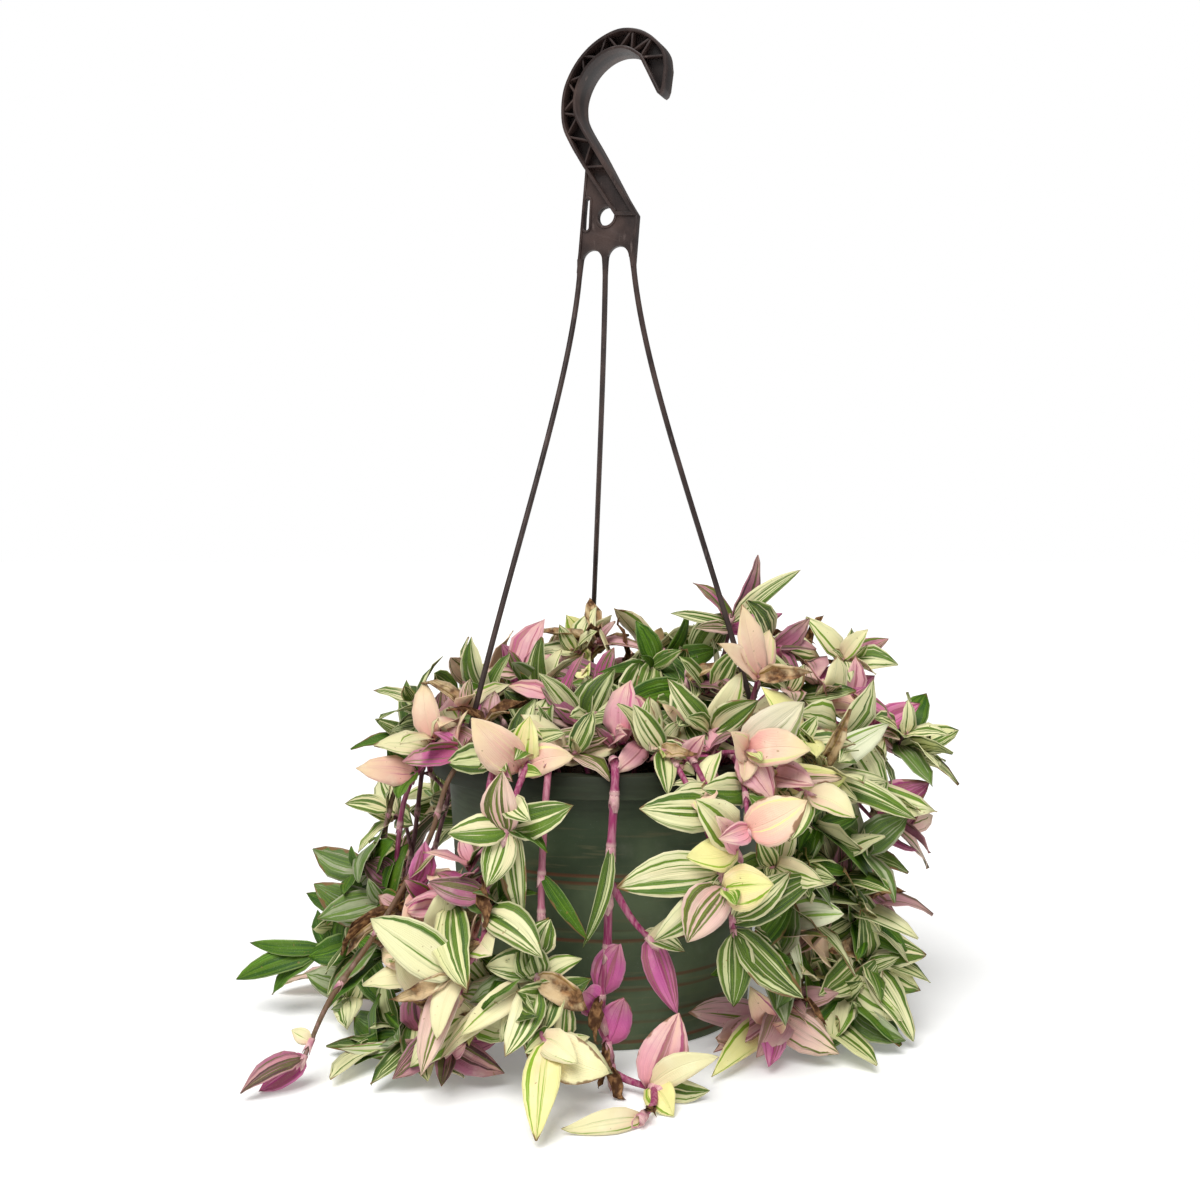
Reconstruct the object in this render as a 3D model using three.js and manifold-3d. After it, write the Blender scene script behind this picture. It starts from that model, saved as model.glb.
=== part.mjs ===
import * as THREE from "three";
import { mergeVertices } from "three/addons/utils/BufferGeometryUtils.js";
import Module from "manifold-3d";

// A trailing tradescantia in a hanging nursery pot, standing on its base.
// Millimetres, +Z up. The origin is the centre of the underside of the pot, and the photographed
// side faces -Y.

// Pot
const potHeight = 145;
const rimRadius = 100;
const baseRadius = 82;
const wallTopRadius = 92;
const wall = 1.8;
const floorThickness = 2;
const lipThickness = 2.2;
const skirtHeight = 12;
const skirtThickness = 1.7;
const edgeBreak = 1;
const roundSides = 28;
const drainHoles = 6;
const drainRadius = 4.5;
const drainSides = 6;
const drainCircle = 60;
const cutPast = 1;

// Soil
const fit = 0.3;
const soilTop = 129;
const rootDepth = 116;
const rootClear = 134;
const rootHole = { radius: 4.4, sides: 4 };

// Hanger: hook, plate and three legs in one moulding
const hangerYaw = THREE.MathUtils.degToRad(-27);
const hookWidth = 17;
const flange = 1.8;
const web = 3.2;
const ribThickness = 1.4;
const ribInset = 1;
// The hook's side view in (u, z): up its back, over the top, round the tip and down its inside.
const hookBack = [
  [-11.8, 483.5], [-19, 497.6], [-23.4, 507], [-24.4, 518], [-21.5, 530], [-13.5, 544], [-3, 553.3],
  [8, 558.8], [18.6, 560.4], [29, 558.4], [37, 552.6], [40.3, 544.5], [39.6, 535],
];
const hookTip = [[38.2, 523.6], [36.6, 522.6]];
const hookInside = [
  [27.7, 542], [20.5, 547.6], [11.5, 549.6], [3, 548], [-5, 543], [-11, 536], [-15, 527.5],
  [-15.6, 520], [-13.6, 511.5], [-1.7, 490.6], [20.7, 452],
];
const shankFoot = [6.7, 454];
// Ribs run from a point of the back to a point of the inside, both counted from the list's start.
const ribs = [
  [11, 0], [10, 1], [8, 1], [8, 3], [6, 3], [6, 5], [4, 5], [4, 7], [2, 7], [2, 8], [1, 8],
];
// The flanges narrow from their full width down to the plate's thickness between two heights.
const taper = { low: 446, high: 494, top: 570, lowHalf: 1.6, length: 120 };
const plateBottom = 429;
const plateShoulder = [[-8.8, 488.5], [2.5, 481]];
const plateFoot = [19.2, -18.4];
const plateArches = [{ u: 8.4, radius: 7 }, { u: -8.6, radius: 6.6 }];
const plateHole = { at: [0.8, 454.2], radius: 5.4, sides: 12 };
const plateSlot = { top: [-11.4, 464.4], low: [-12.2, 449.2], radius: 1.7 };
const archSegments = 3;
const legRadius = 1.65;
const legSides = 6;
const legSteps = 7;
const legTops = [
  { u: -16.7, clip: 216.3 },
  { u: 17.2, clip: -23.7 },
  { u: -0.3, clip: 96.3 },
];
// A leg leaves the plate, bends at a share of its way out and of its fall, and leans in to its clip.
const legOverlap = 2;
const legFoot = 3;
const legBend = { out: 0.06, fall: 0.25 };
const legLean = { out: 0.63, fall: 0.62 };
const clipCircle = 95.2;
const clipHole = { radius: 2.3, sides: 8 };
const clipSides = 7;
const clipPeg = 1.9;
const clipBarb = { radius: 2.7, tip: 4, shoulder: 1.2, neck: 0.4 };
const clipCollar = { radius: 3.6, top: 2, dome: 4.5 };

// Leafy stems
const stemRadius = 1.7;
const stemSides = 3;
const longSpan = 20;
const bladeThickness = 1.3;
const clearance = 0.3;
const floorGap = 0.6;
const rootSink = 0.3;
const longBlade = 46;
const longStations = [0.25, 0.5, 0.8];
const shortStations = [0.3, 0.72];
// Volumes in cubic millimetres: what two pieces of one vine may share, and how much worse it is to
// meet anything else.
const fusedVolume = 3;
const strangerCost = 1e6;
const strangerLimit = 1e4;
const tidyEdge = 0.12;
const up = new THREE.Vector3(0, 0, 1);
const viewer = new THREE.Vector3(0, -1, 0);

// The shoots of the photographed side, set by hand. A stem is a list of points from its root. A leaf
// is [distance back from the stem's tip, then its own tip from the stem's tip in x, y and z,
// half width, 1 if it hangs turned over]. Shoots with one name are one branched stem, and "more"
// leaves are added by rule.
const seenShoots = [
  {
    vine: "centre",
    stem: [
      [2, -72, 116], [3, -92, 152], [4, -105, 144], [1, -110, 96], [0, -112, 62], [-3, -114, 38],
      [2, -125, 8],
    ],
    leaves: [
      [46, 4, 4, 60, 7, 1],
      [46, -14, 0, 38, 6.5, 1],
      [20, 6, 1, 35, 8, 1],
      [34, -7, 1, 14, 5, 0],
      [14, -5, -6, -5, 4, 0],
      [2, 5, -12, -13, 4, 0],
      [108, -14, 4, 58, 3.5, 0],
    ],
  },
  {
    vine: "centre",
    stem: [[3, -110, 91], [12, -113, 78], [22, -116, 68]],
    leaves: [
      [2, 12, -5, -34, 8, 1],
      [2, 9, -7, 15, 3, 0],
      [6, 16, -1, -5, 5, 0],
    ],
  },
  {
    vine: "centre",
    stem: [[1, -123, 12], [10, -130, 6], [22, -139, 6]],
    leaves: [
      [3, 12, 5, 34, 12, 0],
      [3, 31, -3, 17, 7, 0],
      [1, 8, -17, -5, 8, 0],
      [6, 26, -2, 0, 6.5, 0],
    ],
  },
  {
    vine: "star",
    more: 1,
    stem: [[-28, -66, 116], [-37, -91, 152], [-44, -107, 141], [-49, -119, 121]],
    leaves: [
      [1, -1, -8, 32, 9.5, 0],
      [2, -28, -5, 1, 8.5, 0],
      [3, 33, -6, 15, 9.5, 0],
      [2, -9, -8, -24, 9, 0],
      [7, 8, 0, -44, 7.5, 0],
    ],
  },
  {
    vine: "salmon_left",
    more: 1,
    stem: [[-42, -48, 116], [-44, -72, 152], [-43, -95, 147]],
    leaves: [
      [2, -25, -6, 28, 11.5, 0],
      [2, 4, 2, 28, 9, 0],
      [1, 27, -10, 9, 9, 0],
      [4, 30, -6, -9, 8, 0],
      [0, 11, -15, 1, 4, 0],
    ],
  },
  {
    vine: "front_left",
    stem: [
      [-24, -70, 116], [-28, -90, 153], [-30, -107, 140], [-32, -116, 100], [-32, -124, 67],
      [-35, -138, 42], [-27, -153, 31],
    ],
    leaves: [
      [2, -4, -33, -27, 9, 0],
      [2, 28, -9, -8, 11, 0],
      [5, 14, -15, -1, 7.5, 0],
      [34, -42, 11, 1, 7, 0],
      [32, -20, 3, -7, 9, 0],
      [36, 18, 19, 11, 10, 0],
      [40, -31, 21, 30, 8.5, 0],
      [48, 0, 26, 51, 7.5, 0],
      [84, 18, 27, 40, 3.5, 0],
      [30, -52, 15, -12, 6, 0],
    ],
  },
  {
    vine: "left_front",
    more: 1,
    stem: [
      [-46, -60, 116], [-53, -82, 152], [-59, -98, 141], [-59, -117, 100], [-60, -126, 70],
      [-74, -132, 55],
    ],
    leaves: [
      [2, -40, 10, 26, 12, 0],
      [3, -29, -6, -8, 6.5, 0],
      [2, -12, -18, -39, 8.5, 0],
      [5, -3, -14, -26, 6.5, 0],
      [44, -13, 15, 42, 7.5, 0],
      [52, 18, 5, 21, 8, 0],
    ],
  },
  {
    vine: "left_front",
    more: 3,
    stem: [[-59, -116, 102], [-76, -113, 84], [-90, -106, 44], [-94, -96, 7]],
    leaves: [
      [3, -35, 4, 0, 8, 0],
      [8, -20, 10, 16, 7, 0],
      [3, -41, -4, 2, 4, 0],
      [5, 39, -12, 9, 11, 1],
    ],
  },
  {
    vine: "long_left",
    stem: [
      [-56, -48, 116], [-68, -63, 154], [-82, -74, 140], [-91, -78, 112], [-102, -86, 90],
      [-119, -95, 62], [-136, -112, 38], [-146, -126, 14],
    ],
    leaves: [
      [1, -26, -14, -10, 6, 0],
      [2, -20, -5, -13, 7, 1],
      [9, -7, 6, 12, 4, 0],
    ],
  },
  {
    vine: "fan",
    more: 1,
    stem: [
      [-60, -20, 116], [-78, -26, 153], [-98, -32, 146], [-112, -37, 120], [-122, -40, 62],
      [-161, -28, 33],
    ],
    leaves: [
      [5, -41, 6, 4, 5, 0],
      [3, -46, -3, -14, 8.5, 0],
      [2, -24, -10, -20, 7.5, 0],
      [8, -3, 8, 22, 5.5, 0],
      [14, 15, -9, 22, 8, 0],
      [46, 1, -18, 44, 11.5, 0],
      [40, -8, 2, 33, 7, 0],
      [66, 27, -10, 54, 9, 0],
    ],
  },
  {
    vine: "lip_left",
    stem: [[-64, -34, 116], [-82, -40, 156], [-106, -44, 135]],
    leaves: [
      [2, -30, -8, 6, 9, 0],
      [2, -5, -18, -9, 7, 0],
      [4, -16, 4, 17, 6, 0],
    ],
  },
  {
    vine: "folded",
    stem: [[-54, -8, 116], [-74, -14, 157], [-93, -26, 155]],
    leaves: [
      [1, -11, -20, -24, 7, 0],
      [2, 4, -24, -22, 7.5, 0],
      [3, 0, 6, 25, 8, 0],
      [2, 15, -4, 26, 9, 0],
    ],
  },
  {
    vine: "spear",
    more: 1,
    stem: [[-62, 8, 116], [-86, 8, 159], [-116, 2, 148]],
    leaves: [
      [2, -2, 6, 35, 7.5, 0],
      [4, -19, -4, 13, 5, 0],
      [3, -32, -10, -4, 5, 0],
    ],
  },
  {
    vine: "left_leg",
    more: 1,
    stem: [[-42, -18, 116], [-56, -16, 156], [-69, -12, 177]],
    leaves: [
      [1, -8, -3, 33, 9, 0],
      [2, 14, 4, 23, 6, 0],
      [4, -13, -24, -3, 8, 1],
      [3, -12, -16, 7, 4, 0],
    ],
  },
  {
    vine: "behind_leg",
    more: 2,
    stem: [[-38, 18, 116], [-46, 20, 158], [-51, 20, 177]],
    leaves: [
      [2, -12, 4, 26, 8, 1],
    ],
  },
  {
    vine: "dark_spear",
    more: 1,
    stem: [[-22, -6, 116], [-32, -6, 158], [-38, -6, 176]],
    leaves: [
      [2, 1, 2, 33, 8.5, 0],
      [4, -11, -12, 14, 4, 0],
      [3, 12, 10, 25, 7, 0],
    ],
  },
  {
    vine: "lance",
    more: 1,
    stem: [[-10, -34, 116], [-16, -38, 158], [-14, -46, 164]],
    leaves: [
      [2, -23, -8, 29, 7, 0],
      [1, 8, 6, 29, 4, 1],
      [4, -31, -14, 8, 6, 0],
      [2, 9, -24, 10, 4, 0],
      [3, 26, -4, 14, 6, 0],
    ],
  },
  {
    vine: "pale_back",
    more: 1,
    stem: [[-18, 42, 116], [-22, 50, 160], [-11, 58, 189]],
    leaves: [
      [2, -14, 0, 30, 12, 0],
      [4, -23, -14, 1, 7, 0],
    ],
  },
  {
    vine: "dry_curl",
    more: 1,
    stem: [[6, 30, 116], [5, 38, 158], [6, 42, 178]],
    leaves: [
      [3, -10, -4, 33, 9, 0],
      [2, 11, 4, 26, 6, 0],
      [1, -3, 8, 39, 5, 0],
    ],
  },
  {
    vine: "all_green",
    more: 1,
    stem: [[30, 8, 116], [35, 14, 160], [34, 20, 195]],
    leaves: [
      [2, -18, -2, 17, 6.5, 0],
      [1, 15, -4, 29, 4.5, 0],
      [3, -39, -12, -8, 4.5, 0],
      [8, 34, 6, 4, 9.5, 0],
      [14, -7, -24, -40, 9, 0],
    ],
  },
  {
    vine: "centre_right",
    more: 1,
    stem: [[42, -14, 116], [46, -10, 158], [47, -10, 187]],
    leaves: [
      [2, 18, -8, 7, 6, 0],
      [2, 2, -22, -11, 5, 0],
      [3, 27, -14, -11, 8.5, 0],
      [8, -44, -24, -19, 9.5, 0],
    ],
  },
  {
    vine: "crown",
    stem: [[54, 20, 116], [64, 22, 165], [71, 17, 198], [75, 14, 218]],
    leaves: [
      [1, 16, 2, 39, 6.5, 0],
      [2, 41, -4, 30, 6, 0],
      [3, -23, 6, 22, 7, 0],
      [4, -37, -6, 4, 6, 0],
      [6, -24, -22, -4, 5, 0],
      [5, 33, 16, 3, 7.5, 1],
    ],
  },
  {
    vine: "salmon_cup",
    stem: [[60, -34, 116], [74, -46, 160], [83, -49, 192]],
    leaves: [
      [1, -10, -5, 38, 9.5, 0],
      [3, -25, -21, 18, 8, 0],
      [3, 27, -11, 2, 8.5, 0],
      [1, 8, 5, 24, 7.5, 0],
    ],
  },
  {
    vine: "purple_right",
    more: 1,
    stem: [[66, 4, 116], [84, 2, 165], [94, -6, 206]],
    leaves: [
      [2, 27, -6, -4, 6.5, 0],
      [2, -8, 12, 13, 6, 1],
    ],
  },
  {
    vine: "far_top",
    more: 1,
    stem: [[66, 24, 116], [96, 27, 170], [124, 20, 185], [142, 12, 192]],
    leaves: [
      [4, -21, -4, 23, 6, 0],
      [2, 5, 4, 21, 6.5, 0],
      [2, 26, -2, 15, 7, 0],
      [1, 11, -14, 10, 5, 0],
    ],
  },
  {
    vine: "mid_stripe",
    more: 1,
    stem: [[72, -12, 116], [96, -15, 166], [123, -27, 173]],
    leaves: [
      [2, 5, -9, 28, 11, 0],
      [3, 20, -9, -1, 8.5, 0],
      [5, 25, 7, 9, 4, 1],
    ],
  },
  {
    vine: "far_right",
    more: 1,
    stem: [[78, 10, 116], [98, 11, 158], [130, 8, 159], [170, 1, 141]],
    leaves: [
      [2, 6, -4, 29, 8.5, 0],
      [1, 24, -9, 1, 7, 0],
      [4, 25, 7, 8, 6, 0],
      [3, 10, -15, -11, 5.5, 0],
      [8, -7, 9, 24, 6, 0],
    ],
  },
  {
    vine: "pink_star",
    stem: [[44, -62, 116], [55, -82, 153], [71, -98, 157]],
    leaves: [
      [1, 30, -11, 3, 10.5, 0],
      [4, 29, 5, 25, 12, 0],
      [2, -10, -12, 12, 8, 0],
      [1, -4, -12, -13, 6, 0],
      [4, 12, -14, -18, 10.5, 0],
      [0, 5, -14, -2, 3.5, 0],
    ],
  },
  {
    vine: "long_stripe",
    more: 1,
    stem: [[70, -36, 116], [92, -47, 156], [113, -62, 137]],
    leaves: [
      [1, 50, -10, -20, 9, 0],
      [3, 40, 6, -1, 7.5, 0],
      [4, 16, -4, 38, 8, 0],
      [7, 42, 18, 27, 8.5, 0],
      [2, 16, -22, -7, 7, 0],
    ],
  },
  {
    vine: "magenta_right",
    more: 1,
    stem: [[76, -3, 116], [94, -12, 154], [124, -25, 134], [151, -30, 107]],
    leaves: [
      [2, 30, 0, 22, 12.5, 1],
      [1, 22, -6, -15, 4, 1],
      [6, -11, -16, 21, 7, 0],
    ],
  },
  {
    vine: "stripe_mid",
    more: 1,
    stem: [[32, -38, 116], [42, -50, 156], [57, -66, 163]],
    leaves: [
      [4, -16, -14, 9, 5.5, 0],
      [1, 22, -12, 18, 9, 0],
      [5, 15, 6, 31, 8, 0],
      [3, -25, 2, 28, 8, 0],
    ],
  },
  {
    vine: "cup_mid",
    more: 1,
    stem: [[14, -54, 116], [20, -70, 156], [29, -88, 156]],
    leaves: [
      [3, -16, -5, 25, 8, 0],
      [1, 0, -18, -23, 6, 0],
      [2, 18, -10, -3, 6, 0],
      [0, -4, -12, -8, 4.5, 0],
    ],
  },
  {
    vine: "right_cup",
    stem: [[33, -66, 116], [41, -86, 153], [50, -107, 140], [63, -119, 112]],
    leaves: [
      [20, -48, -4, 22, 10.5, 0],
      [4, -21, -11, 28, 11, 0],
      [2, -26, -17, 2, 9, 0],
      [1, -12, -15, 21, 6.5, 0],
    ],
  },
  {
    vine: "front_right",
    stem: [[24, -70, 116], [31, -90, 153], [42, -110, 138], [50, -119, 118], [56, -130, 96]],
    leaves: [
      [1, 22, -10, 6, 11.5, 0],
      [2, -19, -11, -21, 11.5, 0],
      [4, -34, -2, -23, 8, 0],
      [9, -52, 2, 1, 11.5, 0],
      [0, 4, -13, -3, 5, 0],
    ],
  },
  {
    vine: "front_right",
    stem: [[49, -118, 119], [58, -122, 96], [61, -124, 74]],
    leaves: [
      [1, -1, -3, -34, 9.5, 0],
      [2, 34, 2, -32, 9.5, 0],
      [5, 42, 12, 25, 9.5, 0],
      [8, 28, 4, 29, 8, 0],
    ],
  },
  {
    vine: "yellow_right",
    more: 1,
    stem: [[52, -54, 116], [63, -77, 153], [68, -102, 143], [68, -124, 123]],
    leaves: [
      [1, 27, -8, 17, 12, 0],
      [1, -16, -14, 0, 6, 0],
    ],
  },
  {
    vine: "cream_right",
    more: 2,
    stem: [[56, -50, 116], [74, -67, 153], [86, -82, 143], [101, -98, 136]],
    leaves: [
      [1, 22, -10, -10, 8.5, 0],
      [2, -12, -10, -22, 7, 0],
    ],
  },
  {
    vine: "right_stem",
    more: 1,
    stem: [[64, -41, 116], [79, -55, 154], [92, -76, 136], [94, -84, 100], [91, -88, 49]],
    leaves: [
      [22, 29, -8, 26, 9, 0],
      [18, 7, -10, -6, 4, 0],
      [40, 24, -12, 44, 8, 0],
      [30, -24, -20, 6, 7, 0],
    ],
  },
  {
    vine: "right_stem",
    stem: [[91, -88, 52], [93, -80, 26], [90, -65, 6]],
    leaves: [
      [6, -48, -21, 16, 9, 1],
      [4, -43, -31, 4, 9.5, 1],
      [2, -40, -57, -2, 8, 0],
      [3, 39, -5, 4, 10, 0],
      [9, 56, 9, 6, 8.5, 0],
      [14, -5, -21, 24, 6, 0],
      [10, 20, -17, 15, 5, 0],
    ],
  },
  {
    vine: "right_rosette",
    stem: [[70, -24, 116], [90, -30, 154], [110, -46, 132], [123, -64, 78]],
    leaves: [
      [4, -1, -6, 32, 8, 0],
      [3, 16, 2, 32, 6, 0],
      [1, 31, 2, 3, 6.5, 0],
      [2, 30, 14, 8, 7, 0],
      [1, 21, -8, -20, 7.5, 0],
      [6, 41, 16, -19, 4, 0],
      [0, -4, -14, -3, 5, 0],
    ],
  },
  {
    vine: "right_low",
    more: 1,
    stem: [[72, -19, 116], [92, -22, 155], [119, -42, 126], [132, -58, 62], [136, -62, 41]],
    leaves: [
      [1, 23, -18, -37, 10.5, 0],
      [2, 35, 2, 1, 10.5, 0],
      [4, -25, -14, 7, 8.5, 0],
      [1, -11, -20, -11, 5, 1],
      [5, 23, 14, 4, 6, 0],
    ],
  },
  {
    vine: "left_hang",
    more: 2,
    stem: [[-66, -6, 116], [-88, -8, 156], [-108, -12, 146], [-122, -16, 118], [-129, -22, 77]],
    leaves: [
      [34, -21, 8, 37, 6, 0],
      [20, -3, -12, 19, 5, 0],
      [2, -12, -12, -15, 7, 0],
      [1, 16, -16, -14, 7, 0],
    ],
  },
];

// The shoots behind, laid out by rule. Angles are in degrees from +X, and a range is [least, spread].
const hangingShoots = {
  count: 8,
  from: 9,
  sweep: 164,
  root: [64, 9],
  overRim: [93, 153, 6],
  pastRim: [109, 138],
  side: { radius: 116, low: 80, high: 105 },
  lying: { radius: 130, height: 22 },
  lowEnd: { radius: [150, 15], height: 8 },
  highEnd: { radius: [126, 20], height: [30, 50] },
};
const risingShoots = {
  count: 4,
  from: 15,
  sweep: 150,
  root: [34, 26],
  lean: [14, 26],
  middle: 160,
  top: [175, 25],
};

// How leaves are set: the way that they face, as a mix of directions, and the ranges of their shapes
const seen = { outward: 0.45, viewer: 0.55, up: 0.45, arch: [0.4, 0.5], fold: [0.15, 0.25] };
const sideways = {
  outward: 0.75,
  up: 0.65,
  along: [0.35, 0.3],
  side: 0.8,
  lit: [0.1, 0.4],
  reach: [30, 14],
  droop: 0.12,
  width: [0.21, 0.05],
  arch: [0.5, 0.5],
  fold: [0.15, 0.25],
  fromTip: 16,
  fromRoot: 26,
};
const tuft = {
  outward: 0.7,
  up: 0.7,
  along: 0.5,
  lit: 0.8,
  turn: 137.5,
  spread: [85, 78, 66, 52, 34],
  spreadRange: 10,
  reach: [38, 41, 37, 30, 20],
  reachRange: [0.85, 0.3],
  back: [11, 7, 4, 2, 0],
  width: [0.22, 0.06],
  arch: [0.4, 0.4],
  fold: [0.2, 0.25],
};

const degrees = THREE.MathUtils.degToRad;
const wasm = await Module();
wasm.setup();

// Numbers from 0 to 1 that are the same in every build.
function seeded(seed) {
  let state = seed * 7919 + 12345;
  const next = () => {
    state = (state * 1664525 + 1013904223) % 4294967296;
    return state / 4294967296;
  };
  next();
  next();
  return next;
}

// A number from a range of [least, spread].
function within([least, spread], random) {
  return least + spread * random();
}

function solid(geometry) {
  const bare = geometry.clone();
  bare.deleteAttribute("normal");
  bare.deleteAttribute("uv");
  const merged = mergeVertices(bare, 1e-4);
  const made = new wasm.Manifold(
    new wasm.Mesh({
      numProp: 3,
      vertProperties: new Float32Array(merged.attributes.position.array),
      triVerts: new Uint32Array(merged.index.array),
    }),
  );
  return made;
}

function joined(solids) {
  return solids.reduce((all, one) => all.add(one));
}

// The largest body of a solid, without the slivers that joining can leave beside it.
function mainBody(made) {
  return made.decompose().reduce((best, one) => (one.volume() > best.volume() ? one : best));
}

function geometryOf(made) {
  const mesh = made.getMesh();
  const geometry = new THREE.BufferGeometry();
  geometry.setAttribute("position", new THREE.BufferAttribute(mesh.vertProperties, 3));
  geometry.setIndex(new THREE.BufferAttribute(mesh.triVerts, 1));
  const shown = geometry.toNonIndexed();
  shown.computeVertexNormals();
  return shown;
}

function part(name, made, material) {
  const mesh = new THREE.Mesh(geometryOf(made), material);
  mesh.name = name;
  return mesh;
}

// A closed body of revolution about Z, from a profile of [radius, height] points.
function turned(profile, sides) {
  const points = profile.map(([radius, height]) => new THREE.Vector2(radius, height));
  const lathe = new THREE.LatheGeometry(points, sides);
  lathe.rotateX(Math.PI / 2);
  return solid(lathe);
}

function post(x, y, low, high, radius, sides) {
  const geometry = new THREE.CylinderGeometry(radius, radius, high - low, sides);
  geometry.rotateX(Math.PI / 2);
  geometry.translate(x, y, (low + high) / 2);
  return solid(geometry);
}

// A tube of regular section along a curve, closed at both ends.
function tube(curve, radius, sides, steps) {
  const section = new THREE.Shape();
  for (let i = 0; i < sides; i++) {
    const angle = (2 * Math.PI * i) / sides;
    const corner = [radius * Math.cos(angle), radius * Math.sin(angle)];
    if (i === 0) section.moveTo(...corner);
    else section.lineTo(...corner);
  }
  section.closePath();
  return solid(new THREE.ExtrudeGeometry(section, { steps, extrudePath: curve }));
}

// Pot

function wallRadius(height) {
  return baseRadius + ((wallTopRadius - baseRadius) * height) / potHeight;
}

function clipPlace(turn) {
  const angle = degrees(turn);
  return [clipCircle * Math.cos(angle), clipCircle * Math.sin(angle)];
}

function makePot() {
  const lipUnder = potHeight - lipThickness;
  let pot = turned(
    [
      [0, 0],
      [baseRadius, 0],
      [wallRadius(lipUnder), lipUnder],
      [rimRadius - skirtThickness, lipUnder],
      [rimRadius - skirtThickness, potHeight - skirtHeight],
      [rimRadius, potHeight - skirtHeight],
      [rimRadius, potHeight - edgeBreak],
      [rimRadius - edgeBreak, potHeight],
      [wallRadius(potHeight) - wall, potHeight],
      [wallRadius(floorThickness) - wall, floorThickness],
      [0, floorThickness],
    ],
    roundSides,
  );
  for (let i = 0; i < drainHoles; i++) {
    const angle = (2 * Math.PI * (i + 0.5)) / drainHoles;
    const [x, y] = [drainCircle * Math.cos(angle), drainCircle * Math.sin(angle)];
    pot = pot.subtract(post(x, y, -cutPast, floorThickness + cutPast, drainRadius, drainSides));
  }
  for (const { clip } of legTops) {
    const [x, y] = clipPlace(clip);
    const [low, high] = [lipUnder - cutPast, potHeight + cutPast];
    pot = pot.subtract(post(x, y, low, high, clipHole.radius, clipHole.sides));
  }
  return pot;
}

function makeSoil(roots) {
  const inset = wall + fit;
  const low = floorThickness + fit;
  let soil = turned(
    [
      [0, low],
      [wallRadius(low) - inset, low],
      [wallRadius(soilTop) - inset, soilTop],
      [0, soilTop],
    ],
    roundSides,
  );
  for (const [x, y] of roots) {
    const [low, high] = [rootDepth - cutPast, soilTop + cutPast];
    soil = soil.subtract(post(x, y, low, high, rootHole.radius, rootHole.sides));
  }
  return soil;
}

// Hanger, drawn flat in (u, z) and turned upright

function plateOf(shape, thickness) {
  const geometry = new THREE.ExtrudeGeometry(shape, {
    depth: thickness,
    bevelEnabled: false,
    curveSegments: archSegments,
  });
  geometry.translate(0, 0, -thickness / 2);
  geometry.rotateX(Math.PI / 2);
  geometry.rotateZ(hangerYaw);
  return solid(geometry);
}

function bar(from, to, width, depth) {
  const run = to.clone().sub(from);
  const side = new THREE.Vector2(-run.y, run.x).setLength(width / 2);
  const [left, right] = [side.clone().negate(), side];
  const corners = [
    from.clone().add(left),
    to.clone().add(left),
    to.clone().add(right),
    from.clone().add(right),
  ];
  return plateOf(new THREE.Shape(corners), depth);
}

// A closed outline with every edge moved in by "inset".
function moved(outline, inset) {
  return outline.map((at, i) => {
    const before = outline[(i + outline.length - 1) % outline.length];
    const after = outline[(i + 1) % outline.length];
    const come = at.clone().sub(before).normalize();
    const go = after.clone().sub(at).normalize();
    const across = new THREE.Vector2(come.y + go.y, -come.x - go.x).normalize();
    return at.clone().addScaledVector(across, inset / (across.x * come.y - across.y * come.x));
  });
}

function makePlate() {
  const shape = new THREE.Shape();
  shape.moveTo(...hookBack[0]);
  for (const point of plateShoulder) shape.lineTo(...point);
  shape.lineTo(...hookInside.at(-1));
  shape.lineTo(plateFoot[0], plateBottom);
  for (const { u, radius } of plateArches) {
    shape.absarc(u, plateBottom, radius, 0, Math.PI, false);
  }
  shape.lineTo(plateFoot[1], plateBottom);
  shape.closePath();
  const [holeU, holeZ] = plateHole.at;
  const round = Array.from({ length: plateHole.sides }, (_, i) => {
    const angle = (2 * Math.PI * i) / plateHole.sides;
    const across = plateHole.radius * Math.cos(angle);
    return new THREE.Vector2(holeU + across, holeZ + plateHole.radius * Math.sin(angle));
  });
  const hole = new THREE.Path(round);
  const slot = new THREE.Path();
  slot.absarc(...plateSlot.top, plateSlot.radius, 0, Math.PI, false);
  slot.absarc(...plateSlot.low, plateSlot.radius, Math.PI, 2 * Math.PI, false);
  slot.closePath();
  shape.holes.push(hole, slot);
  return plateOf(shape, web);
}

function makeHook() {
  const points = [...hookBack, ...hookTip, ...hookInside, shankFoot];
  const outline = points.map(([u, z]) => new THREE.Vector2(u, z));
  const edge = new THREE.Shape(outline);
  edge.holes.push(new THREE.Path(moved(outline, flange).reverse()));
  const frame = plateOf(edge, hookWidth);
  const struts = ribs.map(([start, end]) => {
    const back = new THREE.Vector2(...hookBack[start]);
    const inside = new THREE.Vector2(...hookInside[end]);
    const run = inside.clone().sub(back).setLength(flange / 2);
    const [from, to] = [back.add(run), inside.sub(run)];
    return bar(from, to, ribThickness, hookWidth - 2 * ribInset);
  });
  const sides = new THREE.Shape([
    new THREE.Vector2(-taper.lowHalf, taper.low),
    new THREE.Vector2(taper.lowHalf, taper.low),
    new THREE.Vector2(hookWidth / 2, taper.high),
    new THREE.Vector2(hookWidth / 2, taper.top),
    new THREE.Vector2(-hookWidth / 2, taper.top),
    new THREE.Vector2(-hookWidth / 2, taper.high),
  ]);
  const envelope = new THREE.ExtrudeGeometry(sides, { depth: taper.length, bevelEnabled: false });
  envelope.translate(0, 0, -taper.length / 2);
  envelope.rotateX(Math.PI / 2);
  envelope.rotateZ(hangerYaw + Math.PI / 2);
  return joined([frame, ...struts])
    .intersect(solid(envelope))
    .add(plateOf(new THREE.Shape(moved(outline, fit)), web));
}

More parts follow.
